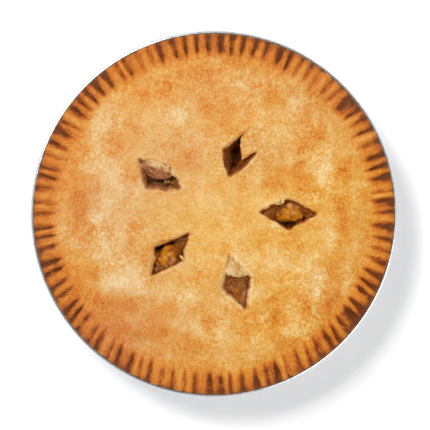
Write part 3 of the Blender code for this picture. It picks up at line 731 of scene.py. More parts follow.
def patch_tone(x, y):
    """How much browner or paler than the rest the lid is at a place."""
    # The places are stirred a little, so that no patch has an even outline.
    x, y = (c + PATCH_STIR * flat_noise(x, y, 8 * MM, seed) for c, seed in ((x, 101), (y, 103)))
    tone = sum(streak_share(x, y, *patch) * strength for *patch, strength in PATCHES)
    return PATCH_LIMIT * np.tanh(PATCH_STRENGTH * tone / PATCH_LIMIT)


def lip_relief(x, y):
    """(height, paleness) of the lips along the vents' edges, the paleness partly a painted highlight."""
    height, paleness = np.zeros(len(x)), np.zeros(len(x))
    broken = smoothstep(-0.5, 0.2, flat_noise(x, y, 2.2 * MM, 57))
    for *lip, raised, paler in LIPS:
        share = streak_share(x, y, *lip) * (0.35 + 0.65 * broken)
        height, paleness = height + raised * share, paleness + paler * share
    return height, paleness


def blister_field(x, y):
    """Height share, from 0 to 1, of low blisters scattered over the lid."""
    rng = np.random.default_rng(BLISTER_SEED)
    height = np.zeros(len(x))
    for _ in range(BLISTERS):
        reach, bearing = BLISTER_FIELD * math.sqrt(rng.random()), TURN * rng.random()
        size, share = rng.uniform(*BLISTER_SIZES) * MM, rng.uniform(*BLISTER_HEIGHTS)
        bx, by = reach * math.cos(bearing), reach * math.sin(bearing)
        near = (abs(x - bx) < 2.6 * size) & (abs(y - by) < 2.6 * size)
        distance = np.hypot(x[near] - bx, y[near] - by) / size
        height[near] = np.maximum(height[near], share * bell(distance))
    return height


def pastry_relief(x, y):
    """(height, browning) of the baked surface's fine relief."""
    layers = [blister_field(x, y)] + [flat_noise(x, y, size * MM, seed) for size, seed in RELIEF_NOISES]
    height, browning = (
        sum(share * layer for share, layer in zip(shares, layers))
        for shares in (RELIEF_HEIGHTS, RELIEF_BROWNING)
    )
    return height * MM, browning


def base_tones(x, y):
    """(bake, rosy, mottle) of the lid at arrays of places."""
    radius = np.hypot(x, y)
    # The lips are paler, partly as painted highlight.
    bake = layered(x, y, 0.346, (0.12, 26, 61)) + patch_tone(x, y) - lip_relief(x, y)[1]
    bake += sum(browner * smoothstep(start, end, radius) for browner, start, end in OUTWARD_BROWNING)
    rosy = layered(x, y, 0.32, (0.25, 30, 83)) + gathered(x, y, BLUSHES)
    mottle = layered(x, y, 0.55, (0.5, 16, 87), (0.4, 7, 89)) + gathered(x, y, GRAINY)
    mottle = np.clip(mottle, 0.15, 1.6)
    bake += (0.5 + mottle) * layered(x, y, 0, (0.12, 10, 71), (0.07, 4.5, 73))
    return bake, np.clip(rosy, 0, 1), mottle


def rim_points(stations, radius):
    """(x, y, cut, crease) around the crimped rim at one radius, cut and crease as shares of full depth."""
    following = np.roll(stations, -1, axis=0)
    following[-1, 0] += TURN
    bearing, lean = (
        stations[:, column, None] + (following[:, column, None] - stations[:, column, None]) * RIM_SHARES
        for column in (0, 1)
    )
    depth = np.where(RIM_SHARES < 0.5, stations[:, 2:], following[:, 2:])
    offset = np.minimum(RIM_SHARES, 1 - RIM_SHARES)
    crease = bell(offset / (0.14 + 0.14 * smoothstep(88 * MM, 99 * MM, radius)))
    groove = 0.86 * crease + 0.14 * bell(offset / 0.1)
    bearing = (bearing + np.tan(lean) * (radius - GROOVE_MIDDLE) / GROOVE_MIDDLE).ravel()
    x, y = radius * np.cos(bearing), radius * np.sin(bearing)
    strays = edge_wander(x, y) - EDGE_NOTCH * np.tile(groove, GROOVES)
    scale = 1 + strays * smoothstep(RAGGED_FROM, LID_RADIUS, radius) / radius
    return x * scale, y * scale, (groove * depth).ravel(), (crease * depth).ravel()


def crimp_char(x, y):
    """How dark the crimps' grooves are baked at a place, as a share of the most."""
    return np.clip(layered(x, y, 0.64, (0.38, 28, 94)) + gathered(x, y, CHARS), 0.25, 1.1)


def add_rim(skin, stations):
    """Adds the crimped rim, from where the grooves start to the foot of its edge. Returns its rings."""
    rib_bake = np.repeat(np.random.default_rng(3).normal(0, 0.08, GROOVES), len(RIM_SHARES))
    rib_bake = (rib_bake + np.roll(rib_bake, len(RIM_SHARES) // 2)) / 2
    rings = []
    for radius in np.append(np.arange(RIM_FROM, LID_RADIUS - RIM_STEP / 2, RIM_STEP), LID_RADIUS):
        x, y, cut, crease = rim_points(stations, radius)
        wavy = radius + layered(x, y, 0, (1.4, 9, 91), (0.5, 2.5, 92)) * MM
        pressed = smoothstep(*PRESSED, wavy)
        streak = radial_noise(x, y, 1.5 * MM, 5 * MM, 97)
        relief, browning = pastry_relief(x, y)
        relief += layered(x, y, 0.14 * streak, (0.35, 6, 95)) * MM * pressed
        height = lid_top(x, y) - cut * along_profile(GROOVE_PROFILE, wavy) + relief * (1 - 0.5 * cut)
        bake, rosy, mottle = base_tones(x, y)
        char = crimp_char(x, y)
        bake += 0.5 * browning + (0.08 + rib_bake + 0.10 * streak) * pressed
        bake += (0.3 * cut + 0.2 * crease * (1 + 0.6 * streak)) * char * smoothstep(*CHARRED, wavy)
        bake += 0.14 * smoothstep(DARK_EDGE_FROM, LID_RADIUS, wavy) * char
        rings.append(skin.add(x, y, height, bake=bake, rosy=rosy, mottle=mottle * (1 - 0.5 * pressed)))
    edge = skin.points[rings[-1]]
    for share, proud in EDGE_ROUNDING:
        points = edge * (1 + proud / LID_RADIUS)
        points[:, 2] = edge[:, 2] + (RIM_BASE - edge[:, 2]) * share
        points[:, :2] *= 1 + 0.0025 * noise_at(points, 2 * MM, 99)[:, None]
        rings.append(skin.add(*points.T, bake=bake - 0.05 - 0.28 * share, rosy=rosy, mottle=0.5))
    skin.strips(rings)
    return rings


def add_vent_wall(skin, name, loop, seed):
    """Adds the cut edge of the lid round a vent. Returns its upper and lower rings."""
    vent = VENTS[name]
    middle = vent_point(vent, 0, 0)
    x, y = loop.T
    top = lid_top(x, y) + pastry_relief(x, y)[0] + lip_relief(x, y)[0] - EDGE_DROP
    bottom = lid_underside(x, y)
    bake, rosy, _ = base_tones(x, y)
    soak = layered(x, y, 0, (0.34, 3, seed + 9))
    sloped = gathered(x, y, SLOPES)
    damp = vent.damp * np.clip(sloped / (2 * MM), 0, 1)
    # The lid is clean where a flap hangs from it.
    clean = np.zeros(len(loop))
    if name in FLAPS:
        hinge = np.array([vent_point(vent, *place) for *place, _ in FLAPS[name].corners])
        clean = 1 - smoothstep(0.3 * MM, 1.8 * MM, distance_to_loop(loop, hinge, 3 * MM))
    rings = []
    for share in np.arange(WALL_LEVELS + 1) / WALL_LEVELS:
        flat = middle + (loop - middle) * (1 - (1 - VENT_TAPER) * share)
        flat -= outward_of(loop) * sloped[:, None] * share
        height = top + (bottom - top) * share
        layers = noise_at(np.column_stack((flat / 2.5, height)), 0.8 * MM, seed)
        flat += outward_of(loop) * layers[:, None] * 0.28 * MM * min(1, 3 * share)
        # Juice stain, darker towards the wall's foot, and partly painted shade where the wall faces away from
        # the light; its rosy mauve is partly painted shade too.
        stain = (0.9 + 0.1 * damp) * smoothstep(-0.4 - damp, 1.25, share + soak) * (1 - 0.85 * clean)
        rings.append(skin.add(
            *flat.T, height, bake=(bake - 0.05) * (1 - share) + 0.3 * share,
            rosy=rosy + (vent.rosy - rosy) * min(1, 2 * share), juice=stain, mottle=0.7,
        ))
    skin.strips(rings)
    return rings[0], rings[-1]


def make_lid(material):
    """The lid: upper skin, crimped rim, vent walls and underside, all one closed surface."""
    draw = random.Random(DRAW_SEED)
    stations = groove_stations(draw)
    loops = [
        torn_outline(vent_outline(vent, draw), 3.1 * seed, TEARS)
        for seed, vent in enumerate(VENTS.values())
    ]
    skin = Skin(*PASTRY)
    rim = add_rim(skin, stations)
    walls = [add_vent_wall(skin, name, loop, seed) for seed, (name, loop) in enumerate(zip(VENTS, loops), 7)]

    wide = hex_points(LID_STEP, RIM_FROM - 0.6 * LID_STEP, 5)
    close = []
    for vent, loop in zip(VENTS.values(), loops):
        wide = clear_of(wide, loop, VENT_BAND)
        band = hex_points(VENT_STEP, vent.length / 2 + 2 * VENT_BAND, 6, vent_point(vent, 0, 0))
        band = clear_of(band, loop, 0.6 * VENT_STEP)
        close.append(band[distance_to_loop(band, loop, VENT_BAND) < VENT_BAND])
    flat = np.vstack((wide, *close))
    x, y = flat.T
    relief, browning = pastry_relief(x, y)
    lip_height, lip_paleness = lip_relief(x, y)
    distance = np.min([distance_to_loop(flat, loop, VENT_BAND) for loop in loops], axis=0)
    lip_height += layered(x, y, 1.3, (1, 6, 13)) * 0.22 * MM * bell((distance - 1.0 * MM) / (0.9 * MM))
    height = lid_top(x, y) + relief + lip_height - EDGE_DROP * bell(distance / (0.7 * MM))
    bake, rosy, mottle = base_tones(x, y)
    worn = bell(distance / (1.1 * MM))
    bake += browning + worn * layered(x, y, 0, (0.12, 4, 19))
    stain = 0.42 * worn * smoothstep(-0.3, 0.5, flat_noise(x, y, 5 * MM, 17)) * (1 - lip_paleness / 0.4)
    top = skin.add(x, y, height, bake=bake, rosy=rosy, juice=stain, mottle=mottle)
    skin.fill(top, rim[0], [upper for upper, _ in walls])

    flat = hex_points(UNDERSIDE_STEP, LID_RADIUS - EDGE_UNDERCUT - UNDERSIDE_STEP / 2, 8)
    for loop in loops:
        flat = clear_of(flat, loop, VENT_STEP)
    under = skin.add(*flat.T, lid_underside(*flat.T), bake=0.15)
    skin.fill(under, rim[-1], [lower for _, lower in walls])
    return skin.piece("lid", material), stations


def make_flap(name, seed, material):
    """A flap of dough that hangs from one side of a vent."""
    vent, flap = VENTS[name], FLAPS[name]
    corners = np.array([vent_point(vent, *place) for *place, _ in flap.corners])
    drops = np.array([drop for *_, drop in flap.corners])
    loop = torn_outline(corners, seed, FLAP_TEARS, 1.3)
    skin = Skin(*PASTRY)

    def drop_at(flat):
        """How far the flap's top hangs below the lid there, from its corners by nearness."""
        weights = 1 / (np.linalg.norm(flat[:, None] - corners[None], axis=2) ** 2 + (0.6 * MM) ** 2)
        return weights @ drops / weights.sum(axis=1)

    def sheet(flat, side):
        """Adds points on the flap's upper side (-1) or its lower (1)."""
        x, y = flat.T
        edge = 1 - bell(distance_to_loop(flat, loop, 5 * MM) / (0.8 * MM))
        height = lid_level(*vent_point(vent, 0, 0)) - drop_at(flat)
        height += layered(x, y, 0, (0.26, 2.4, seed), (0.14, 1, seed + 3), (0.35, 6, seed + 6)) * MM
        browner = np.zeros(len(flat))
        # The folds' browning is partly painted shade, and their paleness partly painted light.
        for *place, raised, darker in FOLDS:
            share = streak_share(x, y, *place)
            height, browner = height + raised * share, browner + darker * share
        height -= FLAP_THICKNESS * side * (0.15 + 0.35 * edge)
        streak = radial_noise(x, y, 1.0 * MM, 5 * MM, seed + 9)
        wet = smoothstep(*flap.stains, drop_at(flat) + layered(x, y, 0, (0.8, 2, seed + 8)) * MM)
        bake = layered(x, y, flap.bake, (0.2, 3, seed + 4)) + 0.1 * (1 - edge) + browner
        juice = wet * (flap.soak + 0.55 * streak)
        return skin.add(x, y, height, bake=bake, rosy=flap.rosy, juice=juice, mottle=0.9)

    inner = hex_points(VENT_STEP, vent.length, 9, vent_point(vent, 0, 0))
    inner = clear_of(inner, loop, 0.5 * VENT_STEP, inside=True)
    upper, lower = sheet(loop, -1), sheet(loop, 1)
    skin.strips((upper, lower))
    skin.fill(sheet(inner, -1), upper)
    skin.fill(sheet(inner[::4], 1), lower)
    return skin.piece(f"flap_{name}", material)


def make_crumbs(material):
    """Loose flakes of crust that lie at the vents' edges."""
    directions, faces = unit_ball(3)
    skin = Skin(*PASTRY)
    for seed, (x, y, length, width, bearing, drop, bake) in enumerate(CRUMBS):
        points = directions * (1 + 0.5 * noise_at(directions * 4 + (seed, 0, 0), 1, 2))[:, None]
        points = swung(points * (length, width, CRUMB_HEIGHT), bearing) + (x, y, lid_level(x, y) - drop)
        skin.body(points, faces, bake=bake, rosy=0.2)
    return skin.piece("crumbs", material)


# ---------------------------------------------------------------- bottom crust and filling


def lined(inset):
    """(radius, height) of the tin's floor and of its corner, inset by a thickness."""
    return [
        (40 * MM, inset), (wall_radius(inset, inset) - TIN_CORNER, inset),
        (wall_radius(inset + TIN_CORNER, inset), inset + TIN_CORNER),
    ]


def make_bottom_crust(stations, material):
    """The pastry that lines the tin. Its crimped edge shows under the lid's."""
    outer, inner = FOIL + GAP, FOIL + GAP + SHELL
    rim_low, rim_top = TIN_DEPTH + GAP, RIM_BASE - GAP
    skin = Skin(*PASTRY)

    def lathed(radius, height, bake):
        return skin.add(*circle(radius, GROOVES * len(RIM_SHARES)), height, bake=bake, rosy=0.3)

    def edge_ring(radius, height):
        x, y, cut, _ = rim_points(stations, radius)
        ragged = 1 + 0.003 * flat_noise(x, y, 1.8 * MM, height / MM)
        bake = 0.5 + layered(x, y, 0.25 * cut, (0.15, 6, 3))
        return skin.add(x * ragged, y * ragged, height, bake=bake, rosy=0.3, mottle=0.8)

    outside = lined(outer) + [
        (wall_radius(rim_low - TIN_LIP_CORNER, outer), rim_low - TIN_LIP_CORNER),
        (wall_radius(rim_low, outer) + TIN_LIP_CORNER, rim_low),
    ]
    rings = [lathed(*place, bake) for place, bake in zip(outside, (0.4, 0.5, 0.6, 0.6, 0.5))]
    middle, half, bulge = (rim_low + rim_top) / 2, (rim_top - rim_low) / 2, 0.7 * MM
    for turn in np.linspace(-math.pi / 2, math.pi / 2, 7):
        radius = SHELL_RADIUS - bulge + bulge * math.cos(turn)
        rings.append(edge_ring(radius, middle + half * math.sin(turn)))
    rings += [
        lathed(radius, height, 0.2)
        for radius, height in (
            (wall_radius(rim_top, inner), rim_top), (wall_radius(inner, inner), inner), (40 * MM, inner),
        )
    ]
    skin.strips(rings)
    skin.cap(rings[0], outer)
    skin.cap(rings[-1], inner)
    return skin.piece("bottom_crust_skin", material)


def vent_dip(x, y):
    """How far the filling's surface sinks: fully in the middle of a vent, not at all between vents."""
    deepest = np.zeros(len(x))
    for vent in VENTS.values():
        heading = math.radians(vent.bearing + vent.twist)
        share = oval_share(x, y, *vent_point(vent, 0, 0), heading, vent.length, vent.width) / DIP_REACH
        deepest = np.maximum(deepest, 1 - smoothstep(*DIP_FADES, share))
    return DIP * deepest


def gel_climb(x, y):
    """How far the gel climbs at a place, where it wets the walls of a vent."""
    climb = np.zeros(len(x))
    for vent in VENTS.values():
        share = vent_edge_share(vent, x, y)
        climb = np.maximum(climb, smoothstep(*CLIMB_SHARES, share) * (1 - smoothstep(1.0, 1.2, share)))
    return GEL_CLIMB * climb


def pocket_depth(x, y):
    """How far the pockets between the apple pieces go down at a place."""
    depth = np.zeros(len(x))
    for px, py, radius, deep in POCKETS:
        depth = np.maximum(depth, deep * np.exp(-(((x - px) ** 2 + (y - py) ** 2) / radius**2) ** 1.5))
    return depth * layered(x, y, 1, (0.14, 1.6, 41))


def apple_place(apple):
    """(x, y, bearing of its length, height of its top) of an apple piece."""
    vent = VENTS[apple.vent]
    heading = math.radians(vent.bearing + vent.twist + apple.turn)
    top = lid_level(*vent_point(vent, 0, 0)) - apple.drop
    return (*vent_point(vent, apple.along, apple.across), heading, top)


def clinging_gel(x, y):
    """Height of the gel that clings round the apple pieces, and far below the filling away from them."""
    height = np.zeros(len(x))
    for apple in APPLES:
        px, py, heading, top = apple_place(apple)
        share = oval_share(x, y, px, py, heading, apple.length, apple.width)
        sink = GEL_SINK if apple.tone < 1 else -GEL_COVER
        fall = sink + GEL_FALL * smoothstep(*GEL_REACH, share)
        height = np.maximum(height, np.where(share < GEL_REACH[1], top - fall, 0))
    return height


def gel_height(x, y):
    """Height of the filling's surface: sunk under the vents, drawn up round the apple, down in pockets."""
    dip = vent_dip(x, y)
    level = lid_underside(x, y) - LID_GAP - dip
    level = GEL_EASE * np.logaddexp(level / GEL_EASE, clinging_gel(x, y) / GEL_EASE)
    level += gathered(x, y, MOUNDS) + np.minimum(gel_climb(x, y), dip)
    ripple = layered(x, y, 0, (0.5, 4.5, 31), (0.4, 1.9, 37), (0.24, 1.1, 39))
    return level - pocket_depth(x, y) + ripple * MM * dip / DIP


def make_filling(material):
    """The filling: a body between the crusts, with its gel surface in detail where the vents show it."""
    inset = FOIL + GAP + SHELL + GAP
    skin = Skin("depth", "pale")
    shoulder = (wall_radius(FRUIT_SHOULDER, inset) - GAP, FRUIT_SHOULDER)
    rings = [skin.add(*circle(radius, FILLING_SIDES), height) for radius, height in lined(inset) + [shoulder]]
    skin.strips(rings)
    skin.cap(rings[0], inset)
    flat = hex_points(FILLING_STEP, RIM_FROM, 11)
    fine = []
    for vent in VENTS.values():
        middle, reach = vent_point(vent, 0, 0), vent.length / 2 + 1 * MM
        flat = flat[np.linalg.norm(flat - middle, axis=1) > reach]
        fine.append(hex_points(VENT_STEP, reach, 12, middle))
    x, y = np.vstack((flat, *fine)).T
    # The gel is painted darker deep in the pockets, as painted shade.
    depth, pale = pocket_depth(x, y) / (4 * MM), gathered(x, y, PAINTED_GLINTS)
    # The gel is lightened at its glints by painted highlights.
    skin.fill(skin.add(x, y, gel_height(x, y), depth=depth, pale=pale), rings[-1])
    return skin.piece("filling_gel", material)


def make_apples(material):
    """The apple pieces that show in the vents, shaped as the solids have them, with finer lumps."""
    skin = Skin("tone", "pale")

    def lump(ball, size, place, heading, tone, seed, rough, roundness):
        """Adds an apple piece or lobe whose top is at a place."""
        directions, faces = ball
        points = np.sign(directions) * np.abs(2 * directions) ** roundness / 2
        points *= (1 + APPLE_ROUGHNESS * noise_at(directions * 3 + (seed, 0, 0), 1, 0))[:, None] * size
        normals = directions / size
        normals /= np.linalg.norm(normals, axis=1)[:, None]
        lumps = 0.34 * noise_at(points, 2.8 * MM, seed + 50) + 0.14 * noise_at(points, 1.3 * MM, seed + 70)
        lumps *= rough
        points = swung(points + normals * lumps[:, None] * MM, heading) + place - (0, 0, size[2] / 2)
        x, y, z = points.T
        sunk = 1 - smoothstep(0.0, 1.5 * MM, z - gel_height(x, y))
        tone = tone - 0.25 * lumps + 0.4 * sunk + gathered(x, y, SAUCES)
        # The fruit is lightened at its glints by painted highlights.
        skin.body(points, faces, tone=tone, pale=gathered(x, y, PAINTED_GLINTS))

    large, small, bead = (unit_ball(subdivisions) for subdivisions in (5, 4, 3))
    for seed, apple in enumerate(APPLES):
        if apple.tone < 1:
            x, y, heading, top = apple_place(apple)
            size = np.array((apple.length, apple.width, apple.height))
            ball = large if apple.length > 12 * MM else small
            lump(ball, size, (x, y, top), heading, apple.tone, seed, 1.0, APPLE_ROUNDNESS)
    for seed, (x, y, length, width, height, bearing, drop, tone) in enumerate(LOBES, 20):
        size = np.array((length, width, height))
        lump(bead, size, (x, y, lid_level(x, y) - drop), bearing, tone, seed, 0.9, LOBE_ROUNDNESS)
    return skin.piece("apple_pieces", material)


# ---------------------------------------------------------------- foil tin


def make_tin(material):
    """The foil tin: drawn wall with fine pleats, flat flange and a curled edge."""
    skin = Skin()
    x, y = circle(1, TIN_SIDES)
    pleat = flat_noise(x, y, 0.045, 3) + 0.7 * flat_noise(x, y, 0.018, 7)
    dent = flat_noise(x, y, 0.45, 5)

    def ring(radius, height, pleats):
        reach = radius + (0.3 * pleat + 0.25 * dent) * MM * pleats
        return skin.add(x * reach, y * reach, height + 0.05 * MM * abs(pleat) * pleats)

    def arc(centre, radius, start, end, steps, pleats):
        angles = np.radians(np.linspace(start, end, steps))
        return [(centre[0] + radius * math.cos(a), centre[1] + radius * math.sin(a), pleats) for a in angles]

    def side(inset):
        """(radius, height, how pleated) of a side of the foil, from its middle to the end of the flange."""
        corner = (wall_radius(0, 0) - 0.6 * TIN_CORNER, TIN_CORNER)
        flange = TIN_DEPTH - FOIL + inset
        return [
            *((radius * MM, inset, 0.0) for radius in (20, 45, 60, 70)),
            *arc(corner, TIN_CORNER - inset, -90, -math.degrees(WALL_TILT), 6, 0.1),
            *(
                (wall_radius(z, inset), z, min(1, (z - TIN_CORNER) / (8 * MM)))
                for z in np.linspace(TIN_CORNER, TIN_DEPTH - TIN_LIP_CORNER, 14)
            ),
            (wall_radius(flange, inset) + 1.2 * MM, flange, 0.7), (TIN_RADIUS - 2 * CURL_RADIUS, flange, 0.3),
        ]

    curl = arc((TIN_RADIUS - CURL_RADIUS, TIN_DEPTH - CURL_RADIUS / 2), CURL_RADIUS, -150, 135, 14, 0.15)
    rings = [ring(*place) for place in side(0.0) + curl + side(FOIL)[::-1]]
    skin.strips(rings)
    skin.cap(rings[0], 0.0)
    skin.cap(rings[-1], FOIL)
    return skin.piece("foil_pan", material)


# ---------------------------------------------------------------- materials


def linear(red, green, blue):
    """Scene-linear RGBA from an 8-bit display colour."""
    return (*(((c / 255 + 0.055) / 1.055) ** 2.4 for c in (red, green, blue)), 1.0)


def stops(*entries):
    """Ramp stops from (position, red, green, blue) entries in display values."""
    return [(position, linear(*colour)) for position, *colour in entries]


# Baked pastry, golden and rosy, by how far it is baked.
BAKED = (
    stops(
        (0.0, 221, 199, 148), (0.20, 215, 180, 113), (0.40, 207, 156, 72), (0.55, 202, 138, 45),
        (0.70, 194, 117, 30), (0.84, 170, 91, 21), (0.94, 132, 68, 16), (1.0, 102, 50, 12),
    ),
    stops(
        (0.0, 212, 192, 152), (0.20, 205, 171, 123), (0.40, 198, 148, 90), (0.55, 196, 128, 63),
        (0.70, 185, 107, 46), (0.84, 162, 87, 36), (0.94, 129, 68, 28), (1.0, 101, 51, 20),
    ),
)
# Paler dough that was folded in and browned less. Its darkest shades serve the painted shade of the flaps'
# folds.
PALE = (
    stops(
        (0.0, 208, 182, 130), (0.25, 196, 164, 104), (0.5, 184, 140, 76), (0.8, 130, 88, 50),
        (1.0, 98, 66, 38),
    ),
    stops(
        (0.0, 206, 177, 132), (0.25, 194, 157, 106), (0.5, 182, 133, 79), (0.8, 130, 86, 54),
        (1.0, 96, 62, 40),
    ),
)
# Dough soaked with juice, from a little to fully, golden and rosy. The rosy shades, a greyer mauve, are
# partly painted shade where walls and flaps face away from the light.
JUICE = (
    stops((0.2, 198, 124, 46), (0.5, 172, 94, 26), (0.8, 132, 64, 13), (1.0, 96, 41, 8)),
    stops((0.2, 194, 140, 94), (0.5, 164, 113, 74), (0.8, 127, 81, 51), (1.0, 92, 55, 34)),
)
# Fine flushes, redder than the rest, multiply the pastry's colour by this.
FLUSH = (0.98, 0.82, 0.71, 1.0)
GEL = stops((0.30, 80, 36, 5), (0.45, 108, 54, 7), (0.58, 136, 73, 10), (0.72, 166, 98, 22))
# The gel's painted shade deep in its pockets, its painted highlight colour, and the tint of its sheen.
GEL_PAINTED_SHADE, GEL_PAINTED_GLINT, GEL_SHEEN = linear(66, 30, 10), linear(176, 122, 76), (1.0, 0.6, 0.36, 1.0)
FLESH = stops(
    (0.0, 206, 150, 36), (0.28, 187, 120, 14), (0.52, 160, 90, 7), (0.78, 114, 57, 6), (1.0, 80, 35, 5),
)
# The fruit's painted highlight colour, and the tint of its sheen.
FLESH_PAINTED_GLINT, FLESH_SHEEN = linear(192, 136, 84), (1.0, 0.62, 0.38, 1.0)
ALUMINIUM = stops((0.3, 205, 207, 210), (0.7, 226, 228, 231))
FLOOR = stops((0.3, 250, 250, 251), (0.7, 253, 253, 253))

# Where a mix node keeps its sockets for colours.
MIX_SHARE, MIX_FIRST, MIX_SECOND, MIX_RESULT = 0, 6, 7, 2


class Nodes:
    """The nodes of a material or of the surroundings. Inputs are other nodes' sockets or plain values."""

    def __init__(self, owner):
        owner.use_nodes = True
        self.owner = owner
        self.tree = owner.node_tree
        self.place = self.new("TexCoord").outputs["Object"]

    def new(self, kind, inputs=(), **settings):
        """A new node with those settings. Its inputs are given in order, or by name or number."""
        node = self.tree.nodes.new("ShaderNode" + kind)
        for name, setting in settings.items():
            setattr(node, name, setting)
        return self.feed(node, dict(inputs if isinstance(inputs, dict) else enumerate(inputs)))

    def feed(self, node, inputs):
        """Gives a node its inputs."""
        for key, value in inputs.items():
            if isinstance(value, bpy.types.NodeSocket):
                self.tree.links.new(value, node.inputs[key])
            else:
                node.inputs[key].default_value = value
        return node

    def finished(self, **inputs):
        """Gives the shader its inputs and returns the material."""
        shader = self.tree.nodes["Principled BSDF"]
        self.feed(shader, {name.replace("_", " "): value for name, value in inputs.items()})
        return self.owner

    def noise(self, size, detail=2.0, roughness=0.5, distortion=0.0):
        """Noise from 0 to 1 with features of about that size, in metres."""
        return self.new("TexNoise", {
            "Vector": self.place, "Scale": 1 / size, "Detail": detail, "Roughness": roughness,
            "Distortion": distortion,
        }).outputs["Fac"]

    def stirred(self, size, reach):
        """The place moved by up to half that reach, in swirls of that size."""
        swirl = self.new("TexNoise", {"Vector": self.place, "Scale": 1 / size, "Detail": 1.0})
        moved = (swirl.outputs["Color"], (reach, reach, reach), self.place)
        return self.new("VectorMath", moved, operation="MULTIPLY_ADD").outputs["Vector"]

    def scattered(self, size, place):
        """Points scattered about that far apart: the nearest one's distance, as a share of it, and colour."""
        return self.new("TexVoronoi", {"Vector": place, "Scale": 1 / size}).outputs

    def dots(self, apart, radius, share):
        """1 on small dots scattered about that far apart, and 0 around them. A lower share shows fewer."""
        points = self.scattered(apart, self.place)
        dot = self.ranged(points["Distance"], 0.5 * radius / apart, radius / apart, 1.0, 0.0)
        return self.math("MULTIPLY", dot, self.math("LESS_THAN", points["Color"], share))

    def tone(self, name):
        """A number kept at the vertices."""
        return self.new("Attribute", attribute_name=name).outputs["Fac"]

    def math(self, operation, first, second=0.0, third=0.0, clamp=False):
        """A sum of one to three numbers."""
        return self.new("Math", (first, second, third), operation=operation, use_clamp=clamp).outputs[0]

    def added(self, value, *grains):
        """The value with (noise, reach) grains added, each noise centred on 0."""
        for grain, reach in grains:
            value = self.math("MULTIPLY_ADD", self.math("SUBTRACT", grain, 0.5), reach, value)
        return value

    def ranged(self, value, low, high, to_low=0.0, to_high=1.0):
        """The value carried from one range to another, eased and held at the ends."""
        given = (value, low, high, to_low, to_high)
        return self.new("MapRange", given, interpolation_type="SMOOTHSTEP").outputs["Result"]

    def ramp(self, value, shades):
        """A colour read from (position, colour) stops."""
        node = self.new("ValToRGB", (value,))
        elements = node.color_ramp.elements
        while len(elements) < len(shades):
            elements.new(0.5)
        for element, (position, colour) in zip(elements, shades):
            element.position, element.color = position, colour
        return node.outputs["Color"]

    def mix(self, share, first, second, blend="MIX"):
        """Two colours mixed."""
        inputs = {MIX_SHARE: share, MIX_FIRST: first, MIX_SECOND: second}
        return self.new("Mix", inputs, data_type="RGBA", blend_type=blend).outputs[MIX_RESULT]

    def bump(self, height, distance, strength):
        """A surface direction tilted by fine relief."""
        inputs = {"Height": height, "Distance": distance, "Strength": strength}
        return self.new("Bump", inputs).outputs["Normal"]


def pastry_material(name, palette):
    """Baked pastry, from cream to dark brown by how far it is baked, speckled, and brown where juice ran,
    which on the vents' walls is partly painted shade.
    """
    nodes = Nodes(bpy.data.materials.new(name))
    blotch = nodes.noise(3.2 * MM, 3.0, 0.6, 0.6)
    speck = nodes.noise(1.3 * MM, 2.0, 0.6)
    fine = nodes.noise(0.6 * MM, 2.0, 0.5)
    rosy, mottle = nodes.tone("rosy"), nodes.tone("mottle")
    # Pale crumbs a couple of millimetres across, with browner lines between them.
    points = nodes.scattered(2.1 * MM, nodes.stirred(2.2 * MM, 2.4 * MM))
    crumbs = nodes.ranged(points["Distance"], 0.15, 0.75, -0.5, 0.5)
    grain = nodes.added(nodes.math("MULTIPLY", crumbs, 0.17), (blotch, 0.38), (speck, 0.48))
    bake = nodes.math("MULTIPLY_ADD", grain, mottle, nodes.added(nodes.tone("bake"), (fine, 0.34)))
    # Browner freckles and paler ones.
    freckles = nodes.math("MULTIPLY", nodes.dots(2.6 * MM, 0.5 * MM, 0.42), mottle)
    bake = nodes.math("MULTIPLY_ADD", freckles, 0.24, bake)
    bake = nodes.math("MULTIPLY_ADD", nodes.dots(3.4 * MM, 0.6 * MM, 0.45), -0.13, bake, clamp=True)
    colour = nodes.mix(rosy, *(nodes.ramp(bake, shades) for shades in palette))
    flushed = nodes.mix(1.0, colour, FLUSH, "MULTIPLY")
    colour = nodes.mix(nodes.ranged(nodes.noise(1.3 * MM, 2.0, 0.7), 0.48, 0.64), colour, flushed)
    stain = nodes.added(nodes.tone("juice"), (blotch, 0.5), (speck, 0.5))
    soaked = nodes.mix(rosy, *(nodes.ramp(stain, shades) for shades in JUICE))
    relief = nodes.math("MULTIPLY_ADD", speck, 0.6, nodes.math("MULTIPLY", fine, 0.4))
    return nodes.finished(
        Base_Color=nodes.mix(nodes.ranged(stain, 0.12, 0.55), colour, soaked),
        Roughness=nodes.ranged(fine, 0.3, 0.7, 0.5, 0.75),
        Normal=nodes.bump(relief, 0.3 * MM, 0.6), Specular_IOR_Level=0.18,
        Subsurface_Weight=0.06, Subsurface_Radius=(1.0, 0.5, 0.25), Subsurface_Scale=0.9 * MM,
    )


def gel_material(name):
    """Spiced apple gel: clear brown and wet, painted darker deep in the pockets as painted shade."""
    nodes = Nodes(bpy.data.materials.new(name))
    speck = nodes.noise(0.9 * MM, 2.0, 0.6)
    shade = nodes.added(0.5, (nodes.noise(3.4 * MM, 3.0, 0.6), 0.6), (speck, 0.5))
    # Painted shade: the gel is darker where the pockets go deep.
    colour = nodes.mix(nodes.ranged(nodes.tone("depth"), 0.1, 0.9), nodes.ramp(shade, GEL), GEL_PAINTED_SHADE)
    return nodes.finished(
        # Painted highlights lighten the gel at its glints.
        Base_Color=nodes.mix(nodes.added(nodes.tone("pale"), (speck, 0.4)), colour, GEL_PAINTED_GLINT),
        Roughness=0.3, Specular_IOR_Level=0.2, Specular_Tint=GEL_SHEEN,
        Normal=nodes.bump(shade, 0.6 * MM, 0.7),
    )


